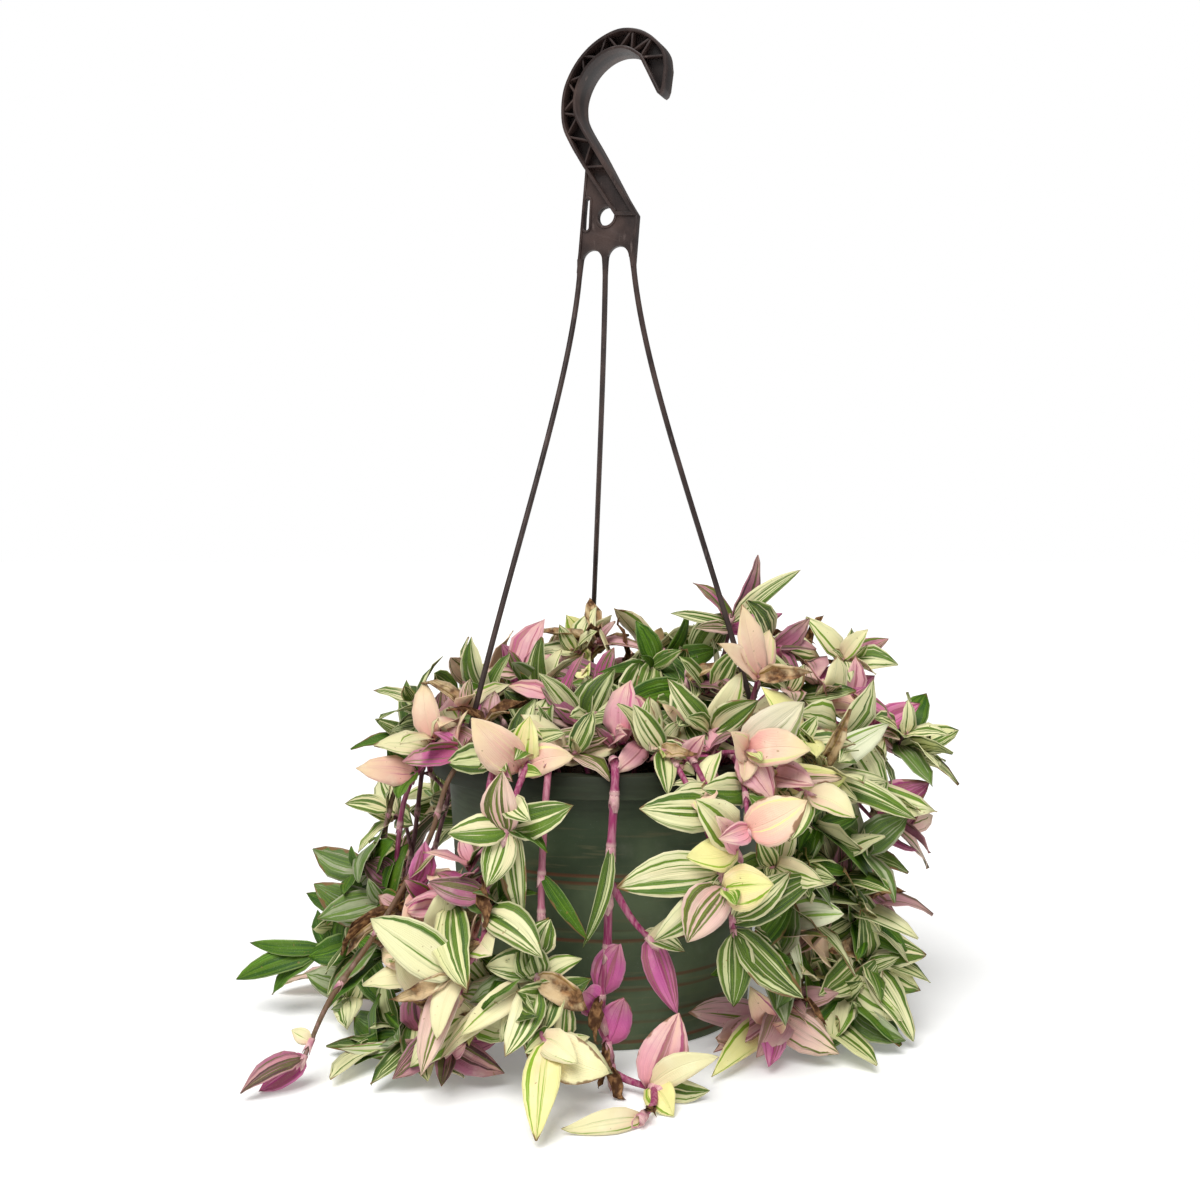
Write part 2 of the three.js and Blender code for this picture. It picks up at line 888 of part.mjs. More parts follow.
function legCurve({ u, clip }) {
  const top = new THREE.Vector3(u, 0, plateBottom + legOverlap).applyAxisAngle(up, hangerYaw);
  const [x, y] = clipPlace(clip);
  const foot = new THREE.Vector3(x, y, potHeight + legFoot);
  const drop = top.z - foot.z;
  const bend = top.clone().lerp(foot, legBend.out).setZ(top.z - legBend.fall * drop);
  const lean = top.clone().lerp(foot, legLean.out).setZ(top.z - legLean.fall * drop);
  return new THREE.CubicBezierCurve3(top, bend, lean, foot);
}

function makeHanger() {
  const pieces = [makeHook(), makePlate()];
  const lipUnder = potHeight - lipThickness;
  for (const leg of legTops) {
    const [x, y] = clipPlace(leg.clip);
    pieces.push(tube(legCurve(leg), legRadius, legSides, legSteps));
    const clip = turned(
      [
        [0, lipUnder - clipBarb.tip],
        [clipBarb.radius, lipUnder - clipBarb.shoulder],
        [clipPeg, lipUnder - clipBarb.neck],
        [clipPeg, potHeight + fit],
        [clipCollar.radius, potHeight + fit],
        [clipCollar.radius, potHeight + clipCollar.top],
        [0, potHeight + clipCollar.dome],
      ],
      clipSides,
    );
    pieces.push(clip.translate([x, y, 0]));
  }
  return joined(pieces);
}

// Leafy stems

// A stem's smooth curve, and the points along it that its tube's sections stand on. The sections
// follow the curve's own parameter, so that there is one at each point of the route.
function walk(points) {
  const curve = new THREE.CatmullRomCurve3(points, false, "catmullrom", 0.5);
  curve.getUtoTmapping = (share) => share;
  const spans = points.length - 1;
  const steps = curve.getLength() > spans * longSpan ? 2 * spans : spans;
  const spaced = curve.getPoints(steps);
  let length = 0;
  const samples = spaced.map((point, i) => {
    if (i > 0) length += point.distanceTo(spaced[i - 1]);
    return { point, length };
  });
  return { curve, steps, samples, length };
}

function pointBack(path, back) {
  const wanted = Math.max(path.length - back, 0);
  const last = path.samples.length - 1;
  let i = 1;
  while (i < last && path.samples[i].length < wanted) i++;
  const [a, b] = [path.samples[i - 1], path.samples[i]];
  const share = (wanted - a.length) / (b.length - a.length);
  return {
    point: a.point.clone().lerp(b.point, Math.min(share, 1)),
    along: b.point.clone().sub(a.point).normalize(),
  };
}

function outwardAt(point) {
  const flat = new THREE.Vector3(point.x, point.y, 0);
  return flat.length() < 1 ? viewer.clone() : flat.normalize();
}

// The blade's half width along its length, 1 at the widest.
function outline(share) {
  return 2.8135 * share ** 0.6 * (1 - share) ** 0.95;
}

// An arched blade, folded along its midrib: a station is [left edge, top, right edge, underside].
function blade(leaf, thickness) {
  const chord = leaf.tip.clone().sub(leaf.root);
  const reach = chord.length();
  chord.normalize();
  const normal = leaf.face.clone().addScaledVector(chord, -leaf.face.dot(chord)).normalize();
  const side = new THREE.Vector3().crossVectors(chord, normal);
  const half = leaf.arch / 2;
  const length = (reach * half) / Math.sin(half);
  const heading = chord.clone().multiplyScalar(Math.cos(half)).addScaledVector(normal, Math.sin(half));
  const rise = normal.clone().multiplyScalar(Math.cos(half)).addScaledVector(chord, -Math.sin(half));
  const corners = [leaf.root.clone().addScaledVector(heading, -rootSink)];
  const stations = reach > longBlade ? longStations : shortStations;
  for (const share of stations) {
    const turn = leaf.arch * share;
    const centre = leaf.root
      .clone()
      .addScaledVector(heading, (length / leaf.arch) * Math.sin(turn))
      .addScaledVector(rise, (-length / leaf.arch) * (1 - Math.cos(turn)));
    const lift = rise.clone().multiplyScalar(Math.cos(turn)).addScaledVector(heading, Math.sin(turn));
    const width = leaf.width * outline(share);
    const ring = [
      [-width * Math.cos(leaf.fold), width * Math.sin(leaf.fold)],
      [0, thickness / 2],
      [width * Math.cos(leaf.fold), width * Math.sin(leaf.fold)],
      [0, -thickness / 2],
    ].map(([across, above]) => centre.clone().addScaledVector(side, across).addScaledVector(lift, above));
    corners.push(...raised(ring));
  }
  corners.push(...raised([leaf.tip.clone()]));
  const faces = [];
  const face = (...loop) => faces.push(...loop);
  const [firstRing, lastRing] = [1, corners.length - 5];
  face(0, firstRing + 2, firstRing + 1, 0, firstRing + 1, firstRing);
  face(0, firstRing + 3, firstRing + 2, 0, firstRing, firstRing + 3);
  for (let a = firstRing; a < lastRing; a += 4) {
    const b = a + 4;
    face(a + 2, b + 2, b + 1, a + 2, b + 1, a + 1);
    face(a + 1, b + 1, a, b + 1, b, a);
    face(a + 2, b + 3, b + 2, a + 2, a + 3, b + 3);
    face(a + 3, a, b + 3, b + 3, a, b);
  }
  const end = corners.length - 1;
  face(lastRing + 2, end, lastRing + 1, lastRing + 1, end, lastRing);
  face(lastRing + 3, end, lastRing + 2, lastRing, end, lastRing + 3);
  const geometry = new THREE.BufferGeometry().setFromPoints(corners);
  geometry.setIndex(faces);
  return solid(geometry);
}

// Points that would sink into what the pot stands on are lifted together, so that the leaf lies on it.
function raised(points) {
  const lowest = Math.min(...points.map((point) => point.z));
  const lift = Math.max(floorGap - lowest, 0);
  points.forEach((point) => point.setZ(point.z + lift));
  return points;
}

// A leaf set by hand.
function seenLeaf(path, [back, x, y, z, width, over], random) {
  const end = pointBack(path, 0).point;
  const root = pointBack(path, back).point;
  const face = outwardAt(root)
    .multiplyScalar(seen.outward)
    .addScaledVector(viewer, seen.viewer)
    .addScaledVector(up, seen.up);
  if (over) face.negate();
  return {
    root,
    tip: new THREE.Vector3(end.x + x, end.y + y, end.z + z),
    face,
    width,
    arch: within(seen.arch, random),
    fold: within(seen.fold, random),
  };
}

// A leaf on the side of a stem, left and right by turns.
function sideLeaf(path, back, turn, random) {
  const { point, along } = pointBack(path, back);
  const lit = outwardAt(point).multiplyScalar(sideways.outward).addScaledVector(up, sideways.up);
  const side = new THREE.Vector3().crossVectors(along, lit).normalize();
  const heading = along
    .clone()
    .multiplyScalar(within(sideways.along, random))
    .addScaledVector(side, turn % 2 ? sideways.side : -sideways.side)
    .addScaledVector(lit, within(sideways.lit, random))
    .normalize();
  const reach = within(sideways.reach, random);
  return {
    root: point,
    tip: point.clone().addScaledVector(heading, reach).addScaledVector(up, -sideways.droop * reach),
    face: lit,
    width: reach * within(sideways.width, random),
    arch: within(sideways.arch, random),
    fold: within(sideways.fold, random),
  };
}

// The leaves crowded at a stem's tip, which open around it.
function rosette(path, random) {
  const { point, along } = pointBack(path, 0);
  const lit = outwardAt(point).multiplyScalar(tuft.outward).addScaledVector(up, tuft.up);
  const axis = along.clone().multiplyScalar(tuft.along).addScaledVector(lit, tuft.lit).normalize();
  const first = new THREE.Vector3().crossVectors(axis, viewer).normalize();
  const second = new THREE.Vector3().crossVectors(axis, first);
  const phase = 2 * Math.PI * random();
  return tuft.spread.map((spread, i) => {
    const angle = phase + degrees(tuft.turn) * i;
    const open = degrees(spread + tuft.spreadRange * (random() - 0.5));
    const heading = axis
      .clone()
      .multiplyScalar(Math.cos(open))
      .addScaledVector(first, Math.sin(open) * Math.cos(angle))
      .addScaledVector(second, Math.sin(open) * Math.sin(angle));
    const reach = tuft.reach[i] * within(tuft.reachRange, random);
    return {
      root: pointBack(path, tuft.back[i]).point,
      tip: point.clone().addScaledVector(heading, reach),
      face: axis,
      width: reach * within(tuft.width, random),
      arch: within(tuft.arch, random),
      fold: within(tuft.fold, random),
    };
  });
}

// A place at a distance from the pot's axis, at a height.
function around(turn, radius, height) {
  return [radius * Math.cos(turn), radius * Math.sin(turn), height];
}

// Behind the pot some shoots hang over the rim. Every third one reaches down to the ground.
function hangingShoot(i) {
  const { count, from, sweep, root, overRim, pastRim, side, lying, lowEnd, highEnd } = hangingShoots;
  const random = seeded(500 + i);
  const turn = degrees(from + (sweep * (i + 0.3 * random())) / (count - 0.8));
  const low = i % 3 === 1;
  const swing = 0.3 * (random() - 0.5);
  const end = low
    ? around(turn + swing, within(lowEnd.radius, random), lowEnd.height)
    : around(turn + swing, within(highEnd.radius, random), within(highEnd.height, random));
  const stem = [
    around(turn, within(root, random), rootDepth),
    around(turn, overRim[0], within(overRim.slice(1), random)),
    around(turn, ...pastRim),
    around(turn + swing / 2, side.radius, low ? side.low : side.high),
  ];
  if (low) stem.push(around(turn + swing, lying.radius, lying.height));
  stem.push(end);
  return { vine: "back_hanging_" + (i + 1), stem, leaves: [], more: low ? 3 : 2, tuft: true };
}

function risingShoot(i) {
  const { count, from, sweep, root, lean, middle, top } = risingShoots;
  const random = seeded(700 + i);
  const turn = degrees(from + (sweep * (i + 0.5 * random())) / (count - 0.5));
  const start = within(root, random);
  const out = within(lean, random);
  const stem = [
    around(turn, start, rootDepth),
    around(turn, start + 0.3 * out, middle),
    around(turn, start + out, within(top, random)),
  ];
  return { vine: "back_rising_" + (i + 1), stem, leaves: [], more: 1, tuft: true };
}

// A stem that starts in the soil stands upright in its hole. A branch starts on its parent stem.
function withPath(shoot, earlier) {
  const points = shoot.stem.map((point) => new THREE.Vector3(...point));
  const rooted = shoot.stem[0][2] === rootDepth;
  if (rooted) {
    points.splice(1, 0, points[0].clone().setZ(rootClear));
  } else {
    const parents = earlier.filter((other) => other.vine === shoot.vine);
    const joints = parents.flatMap((other) => other.path.samples.map((sample) => sample.point));
    joints.sort((a, b) => a.distanceTo(points[0]) - b.distanceTo(points[0]));
    points[0] = joints[0].clone();
  }
  const path = walk(points);
  return { ...shoot, rooted, path, solid: tube(path.curve, stemRadius, stemSides, path.steps) };
}

function leavesOf(shoot, index) {
  const random = seeded(index + 1);
  const leaves = shoot.leaves.map((row) => seenLeaf(shoot.path, row, random));
  if (shoot.tuft) leaves.push(...rosette(shoot.path, random));
  const free = shoot.path.length - (shoot.rooted ? sideways.fromRoot : 0) - sideways.fromTip;
  for (let i = 0; i < (shoot.more ?? 0); i++) {
    const back = sideways.fromTip + (free * (i + 0.3 * random())) / shoot.more;
    leaves.push(sideLeaf(shoot.path, back, i, random));
  }
  return leaves;
}

// How a leaf that meets something is bent clear: its tip moved along its face by a share of its
// length, and the whole leaf made smaller.
const bends = [
  [0, 1],
  [0.12, 1],
  [-0.12, 1],
  [0.24, 1],
  [-0.24, 1],
  [0.12, 0.85],
  [-0.12, 0.85],
  [0.36, 0.85],
  [-0.36, 0.85],
  [0.5, 0.75],
  [0, 0.7],
];

function bent(leaf, [shift, size]) {
  const run = leaf.tip.clone().sub(leaf.root);
  const reach = run.length();
  const away = leaf.face.clone().addScaledVector(run, -leaf.face.dot(run) / (reach * reach)).normalize();
  run.addScaledVector(away, shift * reach).setLength(reach * size);
  return { ...leaf, tip: leaf.root.clone().add(run), width: leaf.width * size };
}

function boxesMeet(a, b) {
  return [0, 1, 2].every((axis) => a.min[axis] < b.max[axis] && b.min[axis] < a.max[axis]);
}

// Places every leaf where it is clear of all that belongs to other pieces, or leaves it off.
function growLeaves(shoots, others) {
  const placed = others.map((made) => ({ made, box: made.boundingBox(), vine: "" }));
  for (const { solid: made, vine } of shoots) placed.push({ made, box: made.boundingBox(), vine });
  const grown = [];
  shoots.forEach((shoot, index) => {
    for (const leaf of leavesOf(shoot, index)) {
      let best = null;
      for (const bend of bends) {
        const tried = bent(leaf, bend);
        const probe = blade(tried, bladeThickness + 2 * clearance);
        const box = probe.boundingBox();
        const near = placed.filter((other) => boxesMeet(box, other.box));
        const crossed = near.map((other) => {
          const shared = probe.intersect(other.made).volume();
          return other.vine === shoot.vine ? shared : shared * strangerCost;
        });
        const cost = crossed.reduce((sum, shared) => sum + shared, 0);
        if (!best || cost < best.cost) best = { cost, tried };
        if (cost < fusedVolume) break;
      }
      if (best.cost > strangerLimit) continue;
      const made = blade(best.tried, bladeThickness);
      placed.push({ made, box: made.boundingBox(), vine: shoot.vine });
      grown.push({ vine: shoot.vine, made });
    }
  });
  return grown;
}

const finish = {
  pot: new THREE.MeshStandardMaterial({ color: 0x43564e, roughness: 0.55, metalness: 0 }),
  soil: new THREE.MeshStandardMaterial({ color: 0x33241a, roughness: 0.95, metalness: 0 }),
  hanger: new THREE.MeshStandardMaterial({ color: 0x3a2c28, roughness: 0.42, metalness: 0 }),
  foliage: new THREE.MeshStandardMaterial({ color: 0xb9bf7c, roughness: 0.5, metalness: 0 }),
};

const hanging = Array.from({ length: hangingShoots.count }, (_, i) => hangingShoot(i));
const rising = Array.from({ length: risingShoots.count }, (_, i) => risingShoot(i));
const shoots = [];
for (const shoot of [...seenShoots, ...hanging, ...rising]) shoots.push(withPath(shoot, shoots));
const roots = shoots.filter((shoot) => shoot.rooted).map((shoot) => shoot.stem[0]);
const pot = makePot();
const soil = makeSoil(roots);
const hanger = makeHanger();
const leaves = growLeaves(shoots, [pot, soil, hanger]);

const plant = new THREE.Group();
for (const vine of new Set(shoots.map((shoot) => shoot.vine))) {
  const stems = shoots.filter((shoot) => shoot.vine === vine).map((shoot) => shoot.solid);
  const blades = leaves.filter((leaf) => leaf.vine === vine).map((leaf) => leaf.made);
  const vineBody = mainBody(joined([...stems, ...blades]).simplify(tidyEdge));
  plant.add(part(vine, vineBody, finish.foliage));
}

const group = new THREE.Group();
group.add(part("pot", pot, finish.pot));
group.add(part("soil", soil, finish.soil));
group.add(part("hanger", hanger, finish.hanger));
group.add(plant);

export default group;
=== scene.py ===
import math

import bpy
import numpy as np
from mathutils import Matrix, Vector, kdtree, noise


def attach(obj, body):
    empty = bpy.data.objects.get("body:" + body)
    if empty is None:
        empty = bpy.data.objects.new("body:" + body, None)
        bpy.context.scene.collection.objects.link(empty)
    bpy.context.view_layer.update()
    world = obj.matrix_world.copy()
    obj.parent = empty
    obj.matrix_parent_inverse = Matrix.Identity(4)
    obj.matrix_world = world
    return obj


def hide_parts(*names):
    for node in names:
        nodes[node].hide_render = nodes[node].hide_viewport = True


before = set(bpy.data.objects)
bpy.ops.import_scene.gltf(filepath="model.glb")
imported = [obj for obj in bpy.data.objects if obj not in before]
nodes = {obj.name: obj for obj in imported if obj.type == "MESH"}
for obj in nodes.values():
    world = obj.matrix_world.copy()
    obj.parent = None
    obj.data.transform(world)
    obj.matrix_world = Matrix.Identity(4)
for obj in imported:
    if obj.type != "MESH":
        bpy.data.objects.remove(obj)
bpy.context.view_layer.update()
mm = 0.001  # the sizes below are in millimetres
print("frame loaded:", len(nodes), "nodes")


def deselect():
    if bpy.context.object and bpy.context.object.mode != "OBJECT":
        bpy.ops.object.mode_set(mode="OBJECT")
    bpy.ops.object.select_all(action="DESELECT")


def pick(thing):
    deselect()
    thing.select_set(True)
    bpy.context.view_layer.objects.active = thing


def edit(thing, what="NONE"):
    pick(thing)
    bpy.ops.object.mode_set(mode="EDIT")
    bpy.ops.mesh.select_mode(type="VERT")
    bpy.ops.mesh.select_all(action="SELECT" if what == "ALL" else "DESELECT")


def leave():
    bpy.ops.object.mode_set(mode="OBJECT")


def selectVerts(thing, test):
    # selects the vertices that pass a test of their place, in millimetres
    leave()
    for v in thing.data.vertices:
        v.select = test(v.co / mm)
    bpy.ops.object.mode_set(mode="EDIT")


def cleaned(thing):
    edit(thing, "ALL")
    bpy.ops.mesh.remove_doubles(threshold=0.01 * mm)
    bpy.ops.mesh.normals_make_consistent(inside=False)
    leave()


def modify(thing, kind, **settings):
    pick(thing)
    made = thing.modifiers.new(kind.lower(), kind)
    for key, value in settings.items():
        setattr(made, key, value)
    bpy.ops.object.modifier_apply(modifier=made.name)


def settle(thing):
    # moves an object's place into its mesh
    pick(thing)
    bpy.ops.object.transform_apply(location=True, rotation=True, scale=True)


def smooth(thing, degrees=35):
    pick(thing)
    bpy.ops.object.shade_smooth_by_angle(angle=math.radians(degrees))


def joinAll(things, name):
    deselect()
    for thing in things:
        thing.select_set(True)
    bpy.context.view_layer.objects.active = things[0]
    if len(things) > 1:
        bpy.ops.object.join()
    whole = bpy.context.view_layer.objects.active
    whole.name = whole.data.name = name
    return whole


def drop(thing):
    bpy.data.objects.remove(thing, do_unlink=True)


def copied(blank):
    # a copy with a mesh of its own
    made = blank.copy()
    made.data = blank.data.copy()
    bpy.context.collection.objects.link(made)
    return made


def meshOf(name, curve):
    # a curve made into a mesh
    made = bpy.data.objects.new(name, curve)
    bpy.context.collection.objects.link(made)
    pick(made)
    bpy.ops.object.convert(target="MESH")
    return bpy.context.object


def wear(thing, *skins):
    thing.data.materials.clear()
    for skin in skins:
        thing.data.materials.append(skin.data)


def rgb(*screen):
    # a screen colour from 0 to 255, made linear
    shares = [c / 255 for c in screen]
    return (*(c / 12.92 if c <= 0.04045 else ((c + 0.055) / 1.055) ** 2.4 for c in shares), 1.0)


def polar(radius, degrees, height=0.0):
    turn = math.radians(degrees)
    return (radius * math.cos(turn), radius * math.sin(turn), height)


def smoothAt(points, i, t):
    # the point a share t along span i of a smooth line through the points
    b, c = points[i], points[i + 1]
    a = points[i - 1] if i else 2 * b - c
    d = points[i + 2] if i + 2 < len(points) else 2 * c - b
    m, n = (c - a) / 2, (d - b) / 2
    return b + m * t + (3 * (c - b) - 2 * m - n) * t * t + (2 * (b - c) + m + n) * t ** 3


# where the random numbers of each sort of piece start
seeds = {
    "curls": 1, "crumbs": 41, "vine": 300, "hanging": 500, "rising": 700, "backSide": 2000, "sheath": 5000,
    "leaf": 9000,
}
noise.seed_set(seeds["curls"])  # without it, the curls of the dry leaves change from run to run


def seeded(seed):
    # numbers from 0 to 1, the same in every run
    state = seed * 7919 + 12345

    def draw():
        nonlocal state
        state = (state * 1664525 + 1013904223) % 4294967296
        return state / 4294967296

    draw()
    draw()
    return draw


class Wire:
    # one output socket, which can be used in sums
    def __init__(self, skin, socket):
        self.skin = skin
        self.socket = socket

    def calc(self, kind, *others):
        return self.skin.node("Math", {"operation": kind}, dict(enumerate((self, *others))))

    def __add__(self, other):
        return self.calc("ADD", other)

    def __radd__(self, other):
        return self.calc("ADD", other)

    def __sub__(self, other):
        return self.calc("SUBTRACT", other)

    def __rsub__(self, other):
        return self.skin.node("Math", {"operation": "SUBTRACT"}, {0: other, 1: self})

    def __mul__(self, other):
        return self.calc("MULTIPLY", other)

    def __rmul__(self, other):
        return self.calc("MULTIPLY", other)

    def __truediv__(self, other):
        return self.calc("DIVIDE", other)

    def size(self):
        return self.calc("ABSOLUTE")

    def most(self, other):
        return self.calc("MAXIMUM", other)

    def step(self, low, high):
        # 0 below low, 1 above high, eased between; the two may be swapped
        settings = {"interpolation_type": "SMOOTHSTEP"}
        return self.skin.node("MapRange", settings, {0: self, 1: low, 2: high, 3: 0.0, 4: 1.0})

    def part(self, name):
        # one of x, y, z of a vector or red, green, blue of a colour
        if name in "xyz":
            return self.skin.node("SeparateXYZ", {}, {0: self}, "xyz".index(name))
        return self.skin.node("SeparateColor", {}, {0: self}, ("red", "green", "blue").index(name))


class Skin:
    def __init__(self, name, **fixed):
        self.data = bpy.data.materials.new(name)
        self.data.use_nodes = True
        self.tree = self.data.node_tree
        self.shader = self.tree.nodes["Principled BSDF"]
        for key, value in fixed.items():
            self.shader.inputs[key.replace("_", " ").title().replace("Ior", "IOR")].default_value = value

    def node(self, kind, settings, inputs, out=0):
        made = self.tree.nodes.new("ShaderNode" + kind)
        for key, value in settings.items():
            setattr(made, key, value)
        for key, value in inputs.items():
            if isinstance(value, Wire):
                self.tree.links.new(value.socket, made.inputs[key])
            else:
                made.inputs[key].default_value = value
        return Wire(self, made.outputs[out])

    def place(self):
        return self.node("TexCoord", {}, {}, "Object")

    def attribute(self, name, out="Color"):
        return self.node("Attribute", {"attribute_name": name}, {}, out)

    def vector(self, x, y, z):
        return self.node("CombineXYZ", {}, {0: x, 1: y, 2: z})

    def scaled(self, vector, by):
        return self.node("VectorMath", {"operation": "MULTIPLY"}, {0: vector, 1: by})

    def noise(self, vector, scale, detail=2.0, rough=0.5):
        inputs = {"Vector": vector, "Scale": scale, "Detail": detail, "Roughness": rough}
        return self.node("TexNoise", {}, inputs)

    def cells(self, vector, scale):
        return self.node("TexVoronoi", {}, {"Vector": vector, "Scale": scale})

    def mix(self, share, low, high):
        return self.node("Mix", {"data_type": "RGBA"}, {0: share, 6: low, 7: high}, 2)

    def give(self, **sockets):
        for key, value in sockets.items():
            self.tree.links.new(value.socket, self.shader.inputs[key.replace("_", " ").title()])

    def bump(self, height, strength, distance):
        made = self.node("Bump", {}, {"Height": height, "Strength": strength, "Distance": distance})
        self.tree.links.new(made.socket, self.shader.inputs["Normal"])


# the camera's place is in millimetres; the fill light and the floor are in metres
studio = {
    "away": 700,        # camera to the pot's axis
    "height": 255,
    "aside": -3.5,
    "lens": 35.9,
    "sensor": 36,
    "shift": -0.0353,   # sets the horizon a little above the middle
    "backdrop": 1.0,
    "world": 0.32,
    "key": 2.95,
    "keyTurn": (31, 0, -24),
    "keySpread": 40,
    "fill": 2.2,
    "fillPlace": (1.3, -1.2, 0.7),
    "fillAim": (0, 0, 0.2),
    "fillWide": 1.4,
    "floorWide": 120,
    "floorGlow": 0.16,  # keeps the shade on the floor pale
}
white = (1, 1, 1, 1)

bpy.ops.object.camera_add(
    location=(studio["aside"] * mm, -studio["away"] * mm, studio["height"] * mm),
    rotation=(math.pi / 2, 0, 0),
)
camera = bpy.context.object
camera.data.lens = studio["lens"]
camera.data.sensor_width = studio["sensor"]
camera.data.shift_y = studio["shift"]
bpy.context.scene.camera = camera
bpy.context.scene.view_settings.view_transform = "Standard"

deselect()
bpy.ops.mesh.primitive_plane_add(size=studio["floorWide"])
floor = bpy.context.object
floor.name = "floor"
floorSkin = Skin("pale_floor", roughness=0.7, specular_ior_level=0.2)
grain = floorSkin.noise(floorSkin.place(), 30.0)
floorSkin.give(base_color=floorSkin.mix(grain, rgb(248, 248, 247), rgb(252, 252, 251)))
floorSkin.shader.inputs["Emission Color"].default_value = white
floorSkin.shader.inputs["Emission Strength"].default_value = studio["floorGlow"]
wear(floor, floorSkin)

world = bpy.data.worlds.new("studio")
bpy.context.scene.world = world
world.use_nodes = True
backdrop = world.node_tree.nodes["Background"]
backdrop.inputs["Color"].default_value = white
straight = world.node_tree.nodes.new("ShaderNodeLightPath").outputs["Is Camera Ray"]
level = world.node_tree.nodes.new("ShaderNodeMapRange")     # the backdrop is brighter than its light
level.inputs["To Min"].default_value = studio["world"]
level.inputs["To Max"].default_value = studio["backdrop"]
world.node_tree.links.new(straight, level.inputs["Value"])
world.node_tree.links.new(level.outputs["Result"], backdrop.inputs["Strength"])

bpy.ops.object.light_add(type="SUN", rotation=[math.radians(v) for v in studio["keyTurn"]])
bpy.context.object.data.energy = studio["key"]
bpy.context.object.data.angle = math.radians(studio["keySpread"])
bpy.ops.object.light_add(type="AREA", location=studio["fillPlace"])
fill = bpy.context.object
fill.name = "fill"
fill.data.shape = "SQUARE"
fill.data.size = studio["fillWide"]
fill.data.energy = studio["fill"]
toAim = Vector(studio["fillAim"]) - Vector(studio["fillPlace"])
fill.rotation_euler = toAim.to_track_quat("-Z", "Y").to_euler()
print("camera, floor and light set")


potSize = {
    "height": 145,
    "rim": 100,
    "base": 82,
    "wallTop": 92,
    "wall": 1.8,
    "floor": 2,
    "lip": 2.2,
    "skirt": 12,
    "skirtWall": 1.7,
    "round": 128,
    "grooves": (4.7, 15, 20, 32, 38, 58, 63, 88, 92),
    "grooveDeep": 0.35,
    "drains": 6,
    "drainRadius": 4.5,
    "drainCircle": 60,
    "clipCircle": 95.2,
    "clipTurns": (216.3, -23.7, 96.3),
    "clipHole": 2.3,
    "shadeFrom": 104,    # where the painted shade of the foliage above starts, darkening the wall towards the rim
}


def wallRadius(height):
    return potSize["base"] + (potSize["wallTop"] - potSize["base"]) * height / potSize["height"]


def grow(profile, sides, name, closed=True):
    # a round body: one ring of vertices, extruded and resized from each (radius, height) to the next
    deselect()
    radius, height = profile[0]
    bpy.ops.mesh.primitive_circle_add(vertices=sides, radius=radius * mm, location=(0, 0, height * mm))
    made = bpy.context.object
    made.name = name
    settle(made)
    edit(made, "ALL")
    for nextRadius, nextHeight in profile[1:]:
        rise = (0, 0, (nextHeight - height) * mm)
        bpy.ops.mesh.extrude_region_move(TRANSFORM_OT_translate={"value": rise})
        size = nextRadius / radius
        bpy.ops.transform.resize(value=(size, size, 1), center_override=(0, 0, nextHeight * mm))
        radius, height = nextRadius, nextHeight
    if closed:
        for radius, height in (profile[0], profile[-1]):
            selectVerts(made, lambda p: abs(p.z - height) + abs(math.hypot(p.x, p.y) - radius) < 0.01)
            bpy.ops.mesh.edge_face_add()
            bpy.ops.mesh.poke()
    leave()
    cleaned(made)
    return made


def bored(thing, cutters):
    cutter = joinAll(cutters, "cutter")
    modify(thing, "BOOLEAN", operation="DIFFERENCE", object=cutter, solver="EXACT")
    drop(cutter)


def peg(x, y, low, high, radius, sides=24):
    deselect()
    middle = (x * mm, y * mm, (high + low) / 2 * mm)
    size = {"radius": radius * mm, "depth": (high - low) * mm}
    bpy.ops.mesh.primitive_cylinder_add(vertices=sides, location=middle, **size)
    made = bpy.context.object
    settle(made)
    return made


def potProfile():
    # the pot's section as (radius, height): up its inside, over the rim, down its outside and in under it
    p = potSize
    wall, rim, top, floor = p["wall"], p["rim"], p["height"], p["floor"]
    under, low, skirt = top - p["lip"], top - p["skirt"], rim - p["skirtWall"]
    mouth = wallRadius(top) - wall
    inside = [(6, floor), (40, floor), (wallRadius(floor) - wall - 1.5, floor)]
    inside += [(wallRadius(h) - wall, h) for h in (3.5, 30, 70, 110, 138)]
    inside += [(mouth, top - 0.6), (mouth + 0.5, top)]
    over = [(rim - 3, top), (rim - 1, top), (rim - 0.3, top - 0.3), (rim, top - 1)]
    over += [(rim, low + 3), (rim, low + 0.4), (rim - 0.4, low), (rim - 1.3, low)]
    over += [(skirt, low + 0.4), (skirt, under - 0.8), (skirt - 0.8, under), (wallRadius(under) + 0.8, under)]
    outside = [(wallRadius(under - 0.8), under - 0.8)]
    for groove in sorted(p["grooves"], reverse=True):
        deep = wallRadius(groove) - p["grooveDeep"]
        outside += [(wallRadius(groove + 1.1), groove + 1.1), (deep, groove + 0.4)]
        outside += [(deep, groove - 0.4), (wallRadius(groove - 1.1), groove - 1.1)]
    foot = p["base"]
    beneath = [(foot, 1.2), (foot - 0.4, 0.3), (foot - 1.2, 0), (70, 0), (40, 0), (6, 0)]
    return inside + over + outside + beneath


pot = grow(potProfile(), potSize["round"], "pot_body")
holes = []
for i in range(potSize["drains"]):
    x, y, _ = polar(potSize["drainCircle"], 360 / potSize["drains"] * (i + 0.5))
    holes.append(peg(x, y, -2, 4, potSize["drainRadius"]))
for turn in potSize["clipTurns"]:
    x, y, _ = polar(potSize["clipCircle"], turn)
    holes.append(peg(x, y, potSize["height"] - 4, potSize["height"] + 2, potSize["clipHole"], 16))
bored(pot, holes)
smooth(pot, 40)

